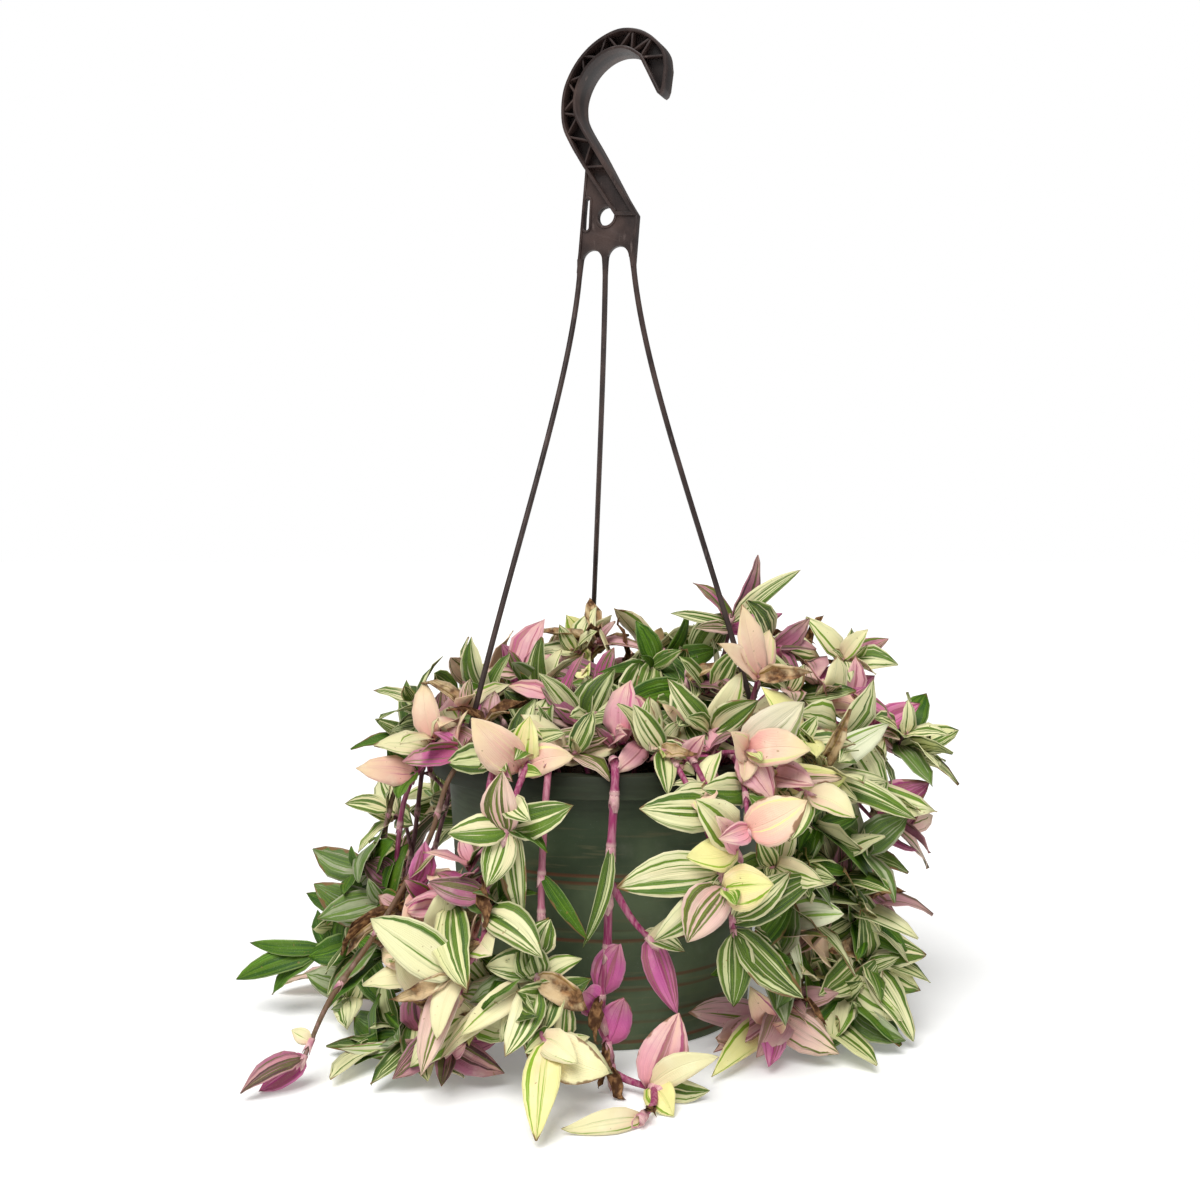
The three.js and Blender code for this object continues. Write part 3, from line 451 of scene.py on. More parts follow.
potSkin = Skin("moulded_pot", specular_ior_level=0.25)
at = potSkin.place()
z = at.part("z") / mm
grooves = [(z - groove).size().step(1.3, 0.5) for groove in potSize["grooves"]]
bands = grooves[0]      # rust-brown dirt along the grooves, here and there
for groove in grooves[1:]:
    bands = bands.most(groove)
bands = bands * potSkin.noise(potSkin.scaled(at, (9.0, 9.0, 120.0)), 1.0, 3.0).step(0.36, 0.6)
cloud = potSkin.noise(at, 22.0, 4.0)
streak = potSkin.noise(potSkin.scaled(at, (40.0, 40.0, 420.0)), 1.0, 4.0)
grit = potSkin.noise(at, 900.0, 3.0)
tone = potSkin.mix(cloud.step(0.3, 0.7), rgb(58, 72, 50), rgb(91, 105, 76))
tone = potSkin.mix(streak.step(0.55, 0.75) * 0.55, tone, rgb(108, 106, 76))
tone = potSkin.mix(bands * 0.85, tone, rgb(104, 66, 44))
dust = potSkin.noise(at, 55.0, 5.0).step(0.6, 0.85)
tone = potSkin.mix(dust * 0.3, tone, rgb(140, 142, 128))
tone = potSkin.mix(grit.step(0.62, 0.8) * 0.25, tone, rgb(120, 128, 118))
# painted shade: the wall darkens towards the rim, where the foliage above shades it
paintedShade = (z + (cloud - 0.5) * 36 + (streak - 0.5) * 24).step(potSize["shadeFrom"], potSize["height"])
tone = potSkin.mix(paintedShade * 0.85, tone, rgb(27, 28, 20))
potSkin.give(base_color=tone, roughness=0.46 + 0.2 * cloud + 0.12 * dust)
potSkin.bump(streak * 0.5 + grit * 0.5, 0.25, 0.3 * mm)
wear(pot, potSkin)
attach(pot, "root")
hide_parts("pot")
print("pot done:", len(pot.data.polygons), "faces")


soilSize = {
    "top": 129,
    "inset": 2.1,
    "rings": 26,
    "round": 96,
    "lumps": 3.2,
    "crumbs": 420,
    "crumb": 1.6,
}


def makeSoil():
    top = soilSize["top"]
    edge = wallRadius(top) - soilSize["inset"]
    low = potSize["floor"] + 0.3
    rings = [(max(edge * (1 - i / soilSize["rings"]), 2.0), top) for i in range(soilSize["rings"] + 1)]
    profile = [(3, low), (40, low), (wallRadius(low) - soilSize["inset"], low), (edge - 0.3, top - 4)] + rings
    made = grow(profile, soilSize["round"], "soil_fill")
    for v in made.data.vertices:
        p = v.co / mm
        if p.z < top - 1:
            continue
        reach = 1 - max(0.0, (math.hypot(p.x, p.y) - edge + 4) / 4)
        lump = noise.fractal(Vector(p) * 0.045, 1.0, 2.0, 3) * 1.4 + noise.noise(Vector(p) * 0.35) * 0.5
        p.z += lump * soilSize["lumps"] * min(max(reach, 0.15), 1) - 0.5
        v.co = p * mm
    deselect()
    bpy.ops.mesh.primitive_ico_sphere_add(subdivisions=1, radius=soilSize["crumb"] * mm)
    crumb = bpy.context.object
    blank = np.array([v.co for v in crumb.data.vertices])
    draw = seeded(seeds["crumbs"])
    heap = [made]
    for _ in range(soilSize["crumbs"]):
        copy = copied(crumb)
        radius, turn = (edge - 3) * math.sqrt(draw()), 360 * draw()
        size = 0.5 + 1.3 * draw() ** 2
        flat = np.array([1, 0.6 + 0.8 * draw(), 0.45 + 0.4 * draw()])
        place = np.array(polar(radius, turn, top + 0.6 + 1.2 * draw())) * mm
        rough = 1 + 0.35 * np.array([draw() - 0.5 for point in blank])[:, None]
        spin = 2 * math.pi * draw()
        turned = blank * rough * flat * size
        x = turned[:, 0] * math.cos(spin) - turned[:, 1] * math.sin(spin)
        y = turned[:, 0] * math.sin(spin) + turned[:, 1] * math.cos(spin)
        points = np.stack([x, y, turned[:, 2]], 1) + place
        copy.data.vertices.foreach_set("co", points.ravel())
        heap.append(copy)
    drop(crumb)
    return joinAll(heap, "soil_fill")


soil = makeSoil()
smooth(soil, 60)
soilSkin = Skin("damp_peat", specular_ior_level=0.25)
at = soilSkin.place()
clods = soilSkin.noise(at, 130.0, 6.0, 0.7)
chips = soilSkin.cells(at, 420.0)
fleck = soilSkin.noise(at, 760.0, 2.0)
tone = soilSkin.mix(clods.step(0.35, 0.7), rgb(38, 27, 20), rgb(84, 62, 45))
tone = soilSkin.mix(fleck.step(0.66, 0.72) * 0.7, tone, rgb(168, 150, 124))
tone = soilSkin.mix(chips.step(0.2, 0.6) * 0.4, tone, rgb(52, 38, 28))
soilSkin.give(base_color=tone, roughness=0.8 + 0.18 * clods)
soilSkin.bump(clods + chips * 0.6, 0.8, 1.2 * mm)
wear(soil, soilSkin)
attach(soil, "root")
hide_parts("soil")
print("soil done:", len(soil.data.polygons), "faces")


hangerSize = {
    "yaw": -27,
    "width": 17,
    "flange": 1.8,
    "web": 2.6,
    "rib": 1.1,
    "ribs": 9,
    "taperFrom": 446,   # the flanges widen over this stretch, from the plate's thickness
    "taperRun": 48,
    "tipFrom": 14,      # above the shank, how far across the flanges start to narrow to the tip
    "tipRun": 22,
    "shankTop": 500,
    "tipWidth": 0.62,   # the tip's share of the full width
    "edge": 0.35,
    "plate": 3.2,
    "plateLow": 429,
    "plateHole": 5.4,
    "boss": 7,
    "slot": 1.7,
    "slotEdge": 3.1,
    "raised": 4.2,      # the thickness of the plate with its raised edges
    "leg": 1.65,
    "legTops": (-16.7, 17.2, -0.3),     # the legs' places across the plate
    "legSteps": 40,
    "legBend": (0.06, 0.25),            # how far out and down a leg's curve is drawn
    "legLean": (0.63, 0.62),
    "collar": 3.6,
    "peg": 1.9,
    "barb": 2.7,
}
yaw = math.radians(hangerSize["yaw"])
# the hook's side view in (across, up): up its back and round the tip, then down its inside
hookBack = [
    (-11.8, 483.5), (-19.6, 497.4), (-24.4, 508), (-25.4, 520), (-23.2, 532), (-16.4, 543.6), (-7.2, 552),
    (4, 557.3), (15, 558.8), (25.6, 556.2), (34, 550), (39.6, 542), (41, 533),
]
hookTip = [(39.4, 521.8), (38.2, 518.9), (36.6, 517.9), (35, 519)]
hookInside = [
    (24.6, 541), (17.6, 546), (9.6, 547.6), (1.4, 546), (-6.2, 541.4), (-11.6, 535), (-15, 527.4),
    (-15.8, 519.8), (-13.6, 511), (-1.7, 490.6), (20.7, 452),
]
shankFoot = (6.7, 454)
plateHole = (0.8, 454.2)
plateShoulder = [(-8.8, 488.5), (2.5, 481)]
plateFoot = (19.2, 18.9, -18.4)     # the plate's right side near its foot, and its two sides at the foot
slotEnds = [(-11.4, 464.4), (-12.2, 449.2)]
legs = list(zip(hangerSize["legTops"], potSize["clipTurns"]))


def bowed(points, fine=4):
    # a smooth line through the points of a side view
    points = [Vector(p) for p in points]
    line = [smoothAt(points, i, k / fine) for i in range(len(points) - 1) for k in range(fine)]
    return line + points[-1:]


def moved(loop, inset):
    # a closed outline with each edge moved in
    out = []
    for i, here in enumerate(loop):
        come = (here - loop[i - 1]).normalized()
        go = (loop[(i + 1) % len(loop)] - here).normalized()
        across = Vector((come.y + go.y, -come.x - go.x)).normalized()
        out.append(here + across * inset / max(across.x * come.y - across.y * come.x, 0.35))
    return out


def upright(thing):
    # stands a side view up, turned as the hook is, and closes it
    thing.rotation_euler = (math.pi / 2, 0, yaw)
    settle(thing)
    cleaned(thing)
    return thing


def flat(name, loops, depth, edge):
    # a flat outline with its holes, given a thickness and rounded edges
    shape = bpy.data.curves.new(name, "CURVE")
    shape.dimensions = "2D"
    shape.fill_mode = "BOTH"
    shape.extrude = (depth / 2 - edge) * mm
    shape.bevel_depth = edge * mm
    shape.bevel_resolution = 1
    shape.offset = -edge * mm
    for loop in loops:
        spline = shape.splines.new("POLY")
        spline.points.add(len(loop) - 1)
        for point, (x, y) in zip(spline.points, loop):
            point.co = (x * mm, y * mm, 0, 1)
        spline.use_cyclic_u = True
    return upright(meshOf(name, shape))


def arc(x, y, radius, start, end, steps):
    return [
        Vector((x + radius * math.cos(a), y + radius * math.sin(a)))
        for a in np.linspace(math.radians(start), math.radians(end), steps)
    ]


def bar(start, end, width, depth):
    # a straight rib between two points of the side view
    run = (end - start).normalized()
    side = Vector((-run.y, run.x)) * width / 2
    return flat("rib", [[start - side, end - side, end + side, start + side]], depth, 0.2)


def tapered(thing):
    # draws the flanges in towards the plate and the tip
    h = hangerSize
    across = Vector((-math.sin(yaw), math.cos(yaw), 0))
    forward = Vector((math.cos(yaw), math.sin(yaw), 0))
    half, least = h["width"] / 2, h["plate"] / 2
    for v in thing.data.vertices:
        share = min(max((v.co.z / mm - h["taperFrom"]) / h["taperRun"], 0), 1)
        keep = (least + (half - least) * share) / half
        toTip = min(max((v.co.dot(forward) / mm - h["tipFrom"]) / h["tipRun"], 0), 1)
        if v.co.z > h["shankTop"] * mm:
            keep *= 1 - (1 - h["tipWidth"]) * toTip
        v.co -= across * v.co.dot(across) * (1 - keep)
    return thing


def makeHook():
    back, inside = bowed(hookBack), bowed(hookInside)
    loop = [*back, *(Vector(p) for p in hookTip), *inside, Vector(shankFoot)]
    inner = moved(loop, hangerSize["flange"])
    pieces = [tapered(flat("flange", [loop, inner], hangerSize["width"], hangerSize["edge"]))]
    pieces.append(flat("web", [moved(loop, 0.6)], hangerSize["web"], 0.3))
    # a zigzag of ribs from the shank to the tip
    last = hangerSize["ribs"] - 1
    outer = [back[round((len(back) - 4) * i / last)] for i in range(last + 1)]
    route = [inside[-4]]
    for a, c in zip(outer, outer[1:]):
        route += [a, min(inside[:-4], key=lambda p: (p - a.lerp(c, 0.5)).length)]
    route.append(outer[-1])
    depth = hangerSize["width"] - 2.4
    for start, end in zip(route, route[1:]):
        pieces.append(tapered(bar(start.lerp(end, 0.08), end.lerp(start, 0.08), hangerSize["rib"], depth)))
    return pieces


def plateLoop():
    # round the plate, with an arch between one leg and the next
    low = hangerSize["plateLow"]
    near, right, left = plateFoot
    loop = [Vector(p) for p in (hookBack[0], *plateShoulder, hookInside[-1], (near, low + 6), (right, low))]
    return loop + arc(8.4, low, 7, 0, 180, 17) + arc(-8.6, low, 6.6, 0, 180, 17) + [Vector((left, low))]


def slotLoop(radius):
    high, low = slotEnds
    return arc(*high, radius, 0, 180, 9) + arc(*low, radius, 180, 360, 9)


def makePlate():
    hole = arc(*plateHole, hangerSize["plateHole"], 360, 0, 41)[:-1]
    slot = slotLoop(hangerSize["slot"])[::-1]
    plate = flat("plate", [plateLoop(), hole, slot], hangerSize["plate"], hangerSize["edge"])
    bossLoop = arc(*plateHole, hangerSize["boss"], 0, 360, 41)[:-1]
    boss = flat("boss", [bossLoop, hole], hangerSize["raised"], 0.3)
    slotEdge = flat("slot_edge", [slotLoop(hangerSize["slotEdge"]), slot], hangerSize["raised"], 0.3)
    low = hangerSize["plateLow"] - 6
    sides = [(hookBack[0], (-17.6, low)), ((20.5, 452.5), (17.9, low)), ((20.6, 452), (2.4, 482))]
    return [plate, boss, slotEdge, *(bar(Vector(start), Vector(end), 1.5, 4.6) for start, end in sides)]


def legRoute(across, clip):
    # a leg's places and its thickness there, from the plate down to its clip
    top = Vector((across * math.cos(yaw), across * math.sin(yaw), hangerSize["plateLow"] + 2))
    foot = Vector(polar(potSize["clipCircle"], clip, potSize["height"] + 3))
    (bendOut, bendDown), (leanOut, leanDown) = hangerSize["legBend"], hangerSize["legLean"]
    bend, lean = top.lerp(foot, bendOut), top.lerp(foot, leanOut)
    bend.z, lean.z = top.z - bendDown * (top.z - foot.z), top.z - leanDown * (top.z - foot.z)
    for i in range(hangerSize["legSteps"] + 1):
        t = i / hangerSize["legSteps"]
        at = top * (1 - t) ** 3 + bend * 3 * t * (1 - t) ** 2 + lean * 3 * t * t * (1 - t) + foot * t ** 3
        yield at, 1 + 0.35 * max(0, 1 - t / 0.04) - 0.04 * t


def rods(name, routes, roundness, caps=True):
    # round rods along lists of (place, radius), all in one mesh
    shape = bpy.data.curves.new(name, "CURVE")
    shape.dimensions = "3D"
    shape.bevel_depth = mm
    shape.bevel_resolution = roundness
    shape.use_fill_caps = caps
    for route in routes:
        spline = shape.splines.new("POLY")
        spline.points.add(len(route) - 1)
        for point, (place, radius) in zip(spline.points, route):
            point.co = (*(place * mm), 1)
            point.radius = radius
    return meshOf(name, shape)


def makeLegs():
    routes = [[(at, hangerSize["leg"] * size) for at, size in legRoute(*leg)] for leg in legs]
    pieces = [rods("legs", routes, 4)]
    cleaned(pieces[0])
    under, top = potSize["height"] - potSize["lip"], potSize["height"]
    thin, collar, barb = hangerSize["peg"], hangerSize["collar"], hangerSize["barb"]
    # a clip's section as (radius, height), from its barbed end under the rim to the leg's foot
    profile = [
        (0.3, under - 4), (1.1, under - 3.6), (barb, under - 1.5), (barb, under - 1.1), (thin, under - 0.4),
        (thin, top + 0.3), (collar - 0.3, top + 0.3), (collar, top + 0.6), (collar, top + 1.7),
        (collar - 0.3, top + 2), (2.4, top + 2.6), (1.9, top + 4.2), (0.4, top + 4.5),
    ]
    for clip in potSize["clipTurns"]:
        made = grow(profile, 24, "clip")
        x, y, _ = polar(potSize["clipCircle"], clip)
        made.location = (x * mm, y * mm, 0)
        settle(made)
        pieces.append(made)
    return pieces


hanger = joinAll(makeHook() + makePlate() + makeLegs(), "hanger_moulding")
smooth(hanger, 35)
hangerSkin = Skin("brown_plastic", specular_ior_level=0.4)
at = hangerSkin.place()
cloud = hangerSkin.noise(at, 60.0, 4.0)
fine = hangerSkin.noise(at, 700.0, 3.0)
scuff = hangerSkin.noise(hangerSkin.scaled(at, (300.0, 300.0, 60.0)), 1.0, 4.0).step(0.62, 0.75)
tone = hangerSkin.mix(cloud.step(0.3, 0.7), rgb(38, 27, 25), rgb(68, 52, 47))
tone = hangerSkin.mix(scuff * 0.45, tone, rgb(118, 102, 96))
tone = hangerSkin.mix(fine.step(0.65, 0.8) * 0.3, tone, rgb(98, 84, 78))
# painted shade: the cells between the ribs are darker, down at the web, where shade falls
fromWeb = (at.part("y") * math.cos(yaw) - at.part("x") * math.sin(yaw)).size()
cells = fromWeb.step(4 * mm, 1.4 * mm) * at.part("z").step(480 * mm, 490 * mm)
tone = hangerSkin.mix(cells * 0.7, tone, rgb(17, 11, 11))
hangerSkin.give(base_color=tone, roughness=0.32 + 0.22 * cloud + 0.2 * scuff)
hangerSkin.bump(fine + cloud * 0.5, 0.18, 0.25 * mm)
wear(hanger, hangerSkin)
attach(hanger, "root")
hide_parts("hanger")
print("hanger done:", len(hanger.data.polygons), "faces")


# each sort of leaf: plain colour, stripe colour, underside colour, share of stripe, dryness, blush
leafSorts = {
    "stripe": ((234, 231, 180), (54, 90, 6), (196, 150, 170), 0.5, 0, 0.12),
    "creamGreen": ((234, 230, 178), (84, 122, 14), (214, 170, 170), 0.38, 0, 0.1),
    "cream": ((238, 230, 182), (112, 146, 30), (226, 190, 180), 0.18, 0, 0.25),
    "yellow": ((240, 234, 158), (130, 166, 30), (230, 200, 150), 0.24, 0, 0.15),
    "salmon": ((240, 206, 178), (232, 222, 160), (224, 140, 160), 0.14, 0, 0.55),
    "pinkStripe": ((234, 196, 184), (74, 82, 20), (196, 110, 160), 0.5, 0, 0.4),
    "pink": ((232, 174, 182), (186, 88, 130), (206, 96, 158), 0.35, 0, 0.5),
    "magenta": ((208, 104, 166), (164, 40, 118), (190, 62, 146), 0.5, 0, 0.3),
    "magentaGreen": ((192, 84, 144), (76, 98, 20), (184, 60, 138), 0.45, 0, 0.3),
    "salmonMagenta": ((240, 200, 172), (190, 78, 138), (196, 76, 146), 0.25, 0, 0.7),
    "green": ((104, 150, 34), (40, 78, 10), (130, 112, 100), 0.8, 0, 0),
    "greenCream": ((230, 228, 168), (46, 82, 8), (200, 150, 160), 0.62, 0, 0.05),
    "darkStripe": ((216, 220, 160), (34, 64, 4), (180, 110, 150), 0.68, 0, 0.1),
    "pale": ((224, 226, 194), (118, 150, 60), (214, 180, 190), 0.4, 0, 0.2),
    "grey": ((158, 168, 130), (76, 102, 46), (160, 120, 140), 0.6, 0, 0.1),
    "creamGrey": ((228, 220, 190), (124, 124, 88), (200, 160, 170), 0.35, 0, 0.2),
    "purple": ((166, 100, 126), (80, 46, 54), (154, 56, 116), 0.5, 0, 0.3),
    "pinkGreen": ((214, 164, 174), (80, 102, 28), (206, 150, 170), 0.42, 0, 0.3),
    "dullPink": ((206, 154, 160), (140, 100, 96), (204, 146, 160), 0.4, 0.1, 0.3),
    "bud": ((226, 230, 150), (90, 134, 20), (200, 150, 170), 0.5, 0, 0.1),
    "tan": ((214, 188, 144), (150, 108, 66), (190, 150, 108), 0.4, 0.45, 0.1),
    "dry": ((132, 94, 60), (80, 52, 34), (104, 70, 44), 0.5, 1, 0),
}
stemTones = {"plum": (146, 48, 94), "rose": (168, 92, 114), "olive": (84, 72, 44), "dusk": (104, 62, 70)}
# the sorts that leaves laid out by rule are drawn from
blends = {
    "mixed": ("stripe", "stripe", "creamGreen", "darkStripe", "cream", "pinkStripe", "salmon", "greenCream"),
    "green": ("green", "darkStripe", "greenCream", "stripe", "green", "grey"),
    "cream": ("stripe", "cream", "creamGreen", "yellow", "stripe", "pale"),
    "pink": ("pinkStripe", "stripe", "purple", "pink", "darkStripe", "magentaGreen"),
    "rosy": ("pinkStripe", "magentaGreen", "salmonMagenta", "pink", "salmon", "magenta"),
    "stripes": ("stripe", "darkStripe", "greenCream", "creamGreen", "stripe", "greenCream"),
    "tans": ("salmon", "tan", "cream", "pinkStripe"),
    "withered": ("dry", "tan", "dry", "dullPink"),
}


def leafWires(skin):
    # what a leaf's finish goes by: its place on the blade, and the leaf's own odds
    uv = skin.node("UVMap", {"uv_map": "leafMap"}, {}, "UV")
    across, along = uv.part("x") * 2 - 1, uv.part("y")
    odds = skin.attribute("odds")
    seed = skin.attribute("odds", "Alpha")
    return across, along, seed, odds.part("red"), odds.part("green"), odds.part("blue")


def stripeWires(skin, across, along, seed, cover):
    # stripes along the blade, its thin streaks, a halo round the stripes, and patches a half blade wide
    wide = skin.noise(skin.vector(across * 2.9 + seed * 40, along * 0.55 + seed * 9, seed * 23), 1.0, 2.0)
    thin = skin.noise(skin.vector(across * 9.0 + seed * 17, along * 0.9, seed * 31), 1.0, 1.0)
    half = skin.noise(skin.vector(across * 0.75 + seed * 13, seed * 5, seed * 7), 1.0, 0.0)
    nearEdge = across.size().step(0.52, 0.62) - across.size().step(0.76, 0.86)
    nearRib = across.size().step(0.3, 0.2) - across.size().step(0.1, 0.05)
    side = (seed * 31.7 + across.step(-0.01, 0.01) * 0.43).calc("FRACT")
    share = wide * 0.62 + thin * 0.38 + (half - 0.5) * 0.3
    share = share + nearEdge * side.step(0.2, 0.7) * 0.16 + nearRib * side.step(0.75, 0.35) * 0.14
    edge = 0.77 - cover * 0.46
    return share.step(edge - 0.02, edge + 0.025), thin, share.step(edge - 0.13, edge - 0.01), half


leafTop = Skin("leaf_top", specular_ior_level=0.22, coat_weight=0.05, coat_roughness=0.35)
across, along, seed, cover, dry, blush = leafWires(leafTop)
at = leafTop.place()
stripes, thin, halo, half = stripeWires(leafTop, across, along, seed, cover)
rim = across.size()
veins = (across * 76).calc("SINE") * 0.5 + 0.5
cloud = leafTop.noise(at, 90.0, 3.0)
fine = leafTop.noise(at, 1400.0, 2.0)
light = leafTop.attribute("light")
band = leafTop.attribute("band")
plain = leafTop.mix(half.step(0.5, 0.62) * (0.12 + blush), light, rgb(238, 188, 172))
plain = leafTop.mix(along.step(0.45, 1.0) * blush * 0.75, plain, rgb(240, 232, 160))
plain = leafTop.mix((1 - along).step(0.35, 1.0) * blush * 0.9, plain, rgb(226, 122, 140))
plain = leafTop.mix(cloud.step(0.5, 0.8) * 0.35, plain, rgb(250, 246, 214))
plain = leafTop.mix(halo * 0.5, plain, leafTop.mix(0.55, band, light))
sap = leafTop.mix(0.3, band, rgb(150, 186, 40))
deep = leafTop.mix(thin.step(0.42, 0.6) * 0.7, band, sap)
deep = leafTop.mix(cloud.step(0.45, 0.7) * 0.3, deep, sap)
tone = leafTop.mix(stripes, plain, deep)
tone = leafTop.mix(rim.step(0.86, 0.97) * 0.8, tone, leafTop.mix(0.25, light, rgb(232, 214, 190)))
tone = leafTop.mix(rim.step(0.07, 0.015) * 0.5, tone, light)
tone = leafTop.mix(veins * 0.14, tone, leafTop.mix(0.5, band, light))
tone = leafTop.mix(fine.step(0.55, 0.8) * 0.08, tone, rgb(255, 252, 235))
burnt = along + rim * 0.12 + cloud * 0.3 - (seed * 7.3).calc("FRACT") * 0.16
tone = leafTop.mix(burnt.step(1.12, 1.2) * 0.85, tone, rgb(134, 92, 52))
edgeDead = rim * 0.5 + along * 0.25 + leafTop.noise(at, 120.0, 3.0) * 0.6
edgeDead = edgeDead * (seed * 5.13).calc("FRACT").step(0.82, 0.88)
tone = leafTop.mix(edgeDead.step(0.86, 0.93) * 0.85, tone, rgb(128, 88, 54))
spots = leafTop.noise(at, 420.0, 1.0).step(0.74, 0.78)
tone = leafTop.mix(spots * 0.6, tone, rgb(138, 108, 62))
withered = (leafTop.noise(at, 150.0, 4.0) + dry * 1.1 + along * dry * 0.4).step(0.95, 1.25)
husky = leafTop.mix(leafTop.noise(at, 320.0, 4.0).step(0.4, 0.7), rgb(86, 56, 34), rgb(168, 126, 84))
tone = leafTop.mix(withered, tone, husky)
leafTop.give(base_color=tone, roughness=0.4 + 0.16 * cloud + 0.35 * withered)
leafTop.bump(veins * 0.35 + fine * 0.3 + cloud * 0.8 + rim.step(0.0, 0.06) * 0.8, 0.55, 0.45 * mm)

leafUnder = Skin("leaf_underside", specular_ior_level=0.22)
across, along, seed, cover, dry, _ = leafWires(leafUnder)
at = leafUnder.place()
stripes = stripeWires(leafUnder, across, along, seed, cover)[0]
rim = across.size()
veins = (across * 40).calc("SINE") * 0.5 + 0.5
cloud = leafUnder.noise(at, 110.0, 4.0)
under = leafUnder.attribute("under")
light = leafUnder.attribute("light")
tone = leafUnder.mix(stripes * 0.35, under, leafUnder.attribute("band"))
tone = leafUnder.mix(cloud.step(0.35, 0.75) * 0.35, tone, leafUnder.mix(0.5, under, rgb(240, 200, 222)))
tone = leafUnder.mix(rim.step(0.6, 1.0) * 0.55, tone, light)
tone = leafUnder.mix(veins * 0.16, tone, leafUnder.mix(0.6, under, rgb(120, 50, 96)))
tone = leafUnder.mix(rim.step(0.08, 0.02) * 0.5, tone, leafUnder.mix(0.5, under, rgb(238, 190, 214)))
withered = (leafUnder.noise(at, 150.0, 4.0) + dry * 1.1).step(0.95, 1.25)
tone = leafUnder.mix(withered, tone, rgb(140, 100, 64))
leafUnder.give(base_color=tone, roughness=0.48 + 0.15 * cloud + 0.25 * withered)
leafUnder.bump(veins + cloud, 0.35, 0.3 * mm)

stemSkin = Skin("stem_skin", specular_ior_level=0.25)
at = stemSkin.place()
odds = stemSkin.attribute("odds")
joint, dry = odds.part("red"), odds.part("green")
run = stemSkin.attribute("run", "Fac")
streak = stemSkin.noise(stemSkin.scaled(at, (700.0, 700.0, 90.0)), 1.0, 3.0)
cloud = stemSkin.noise(at, 70.0, 3.0)
hue = stemSkin.attribute("light")
tone = stemSkin.mix(streak.step(0.35, 0.65) * 0.6, hue, stemSkin.mix(0.6, hue, rgb(218, 168, 176)))
tone = stemSkin.mix(cloud.step(0.45, 0.7) * 0.5, tone, stemSkin.mix(0.6, hue, rgb(70, 40, 44)))
tone = stemSkin.mix(joint.step(0.35, 1.0) * 0.75, tone, rgb(206, 176, 166))
tone = stemSkin.mix(dry * cloud.step(0.3, 0.6) * 0.8, tone, rgb(110, 84, 60))
hair = stemSkin.noise(at, 1600.0, 2.0)
stemSkin.give(base_color=tone, roughness=0.42 + 0.2 * cloud)
stemSkin.bump(streak * 0.6 + hair * 0.3 + (run * 2.1).calc("SINE") * 0.1, 0.4, 0.3 * mm)

huskSkin = Skin("papery_sheath", specular_ior_level=0.3)
at = huskSkin.place()
cloud = huskSkin.noise(at, 260.0, 4.0)
streak = huskSkin.noise(huskSkin.scaled(at, (1300.0, 1300.0, 160.0)), 1.0, 2.0)
tone = huskSkin.mix(cloud.step(0.35, 0.7), rgb(224, 184, 180), rgb(190, 122, 142))
tone = huskSkin.mix(streak.step(0.5, 0.7) * 0.5, tone, rgb(150, 96, 92))
huskSkin.give(base_color=tone, roughness=0.6 + 0.2 * cloud)
huskSkin.bump(streak + cloud * 0.5, 0.5, 0.3 * mm)
print("leaf and stem finishes made")


stemSize = {
    "radius": 1.45,
    "sideRadius": 1.2,
    "stout": {"centre": 2.1, "front_left": 1.75, "right_stem": 1.75, "star": 1.7, "left_front": 1.7},
    "joint": 0.55,      # how much a joint stands out
    "jointLong": 1.8,
    "jointGap": 34,     # longer stretches between leaves get joints of their own
    "jointApart": 5,
    "jointEnd": 12,     # no leaf's joint is nearer to the stem's foot
    "jointFoot": 24,    # nor is any other on a rooted stem
    "step": 3.0,
    "stepLeast": 0.8,
    "span": 20,         # stems with longer spans have two stations to a span
    "soilHole": 116,
    "soilClear": 134,
    "leafless": 26,     # the length at a rooted stem's foot without leaves
    "tipPart": 16,      # the length at the tip that the laid-out side leaves keep clear of
    "thin": 0.35,       # how much thinner a stem is at its tip, over its last stretch
    "thinRun": 30,
}
up = Vector((0, 0, 1))
viewer = Vector((0, -1, 0))


def shootOf(vine, more, stem, leaves=(), **looks):
    # more is how many leaves are laid out by rule along the stem
    return {"vine": vine, "more": more, "stem": stem, "leaves": leaves, **looks}


def onCurve(points, t):
    spans = len(points) - 1
    i = min(int(t * spans), spans - 1)
    return smoothAt(points, i, t * spans - i)


def walk(points):
    # the stations of a stem's smooth route, and how far along it each one is
    spans = len(points) - 1
    fine = [onCurve(points, i / 200) for i in range(201)]
    length = sum((q - p).length for p, q in zip(fine, fine[1:]))
    steps = 2 * spans if length > spans * stemSize["span"] else spans
    stations = [onCurve(points, i / steps) for i in range(steps + 1)]
    far = [0.0]
    for p, q in zip(stations, stations[1:]):
        far.append(far[-1] + (q - p).length)
    return {"points": points, "stations": stations, "far": far, "length": far[-1]}


def pointBack(path, back):
    # the place a distance back from a stem's tip, its direction, and the same place on the smooth route
    wanted = max(path["length"] - back, 0)
    far, stations = path["far"], path["stations"]
    last = len(stations) - 1
    i = 1
    while i < last and far[i] < wanted:
        i += 1
    share = min((wanted - far[i - 1]) / (far[i] - far[i - 1]), 1)
    a, b = stations[i - 1], stations[i]
    return a.lerp(b, share), (b - a).normalized(), onCurve(path["points"], (i - 1 + share) / last)


def outwardAt(point):
    level = Vector((point.x, point.y, 0))
    return viewer.copy() if level.length < 1 else level.normalized()


def shootPath(shoot, earlier):
    points = [Vector(p) for p in shoot["stem"]]
    shoot["rooted"] = shoot["stem"][0][2] == stemSize["soilHole"]
    if shoot["rooted"]:
        points.insert(1, Vector((points[0].x, points[0].y, stemSize["soilClear"])))
    else:
        near = [s for other in earlier if other["vine"] == shoot["vine"] for s in other["path"]["stations"]]
        points[0] = min(near, key=lambda s: (s - points[0]).length).copy()
    shoot["path"] = walk(points)


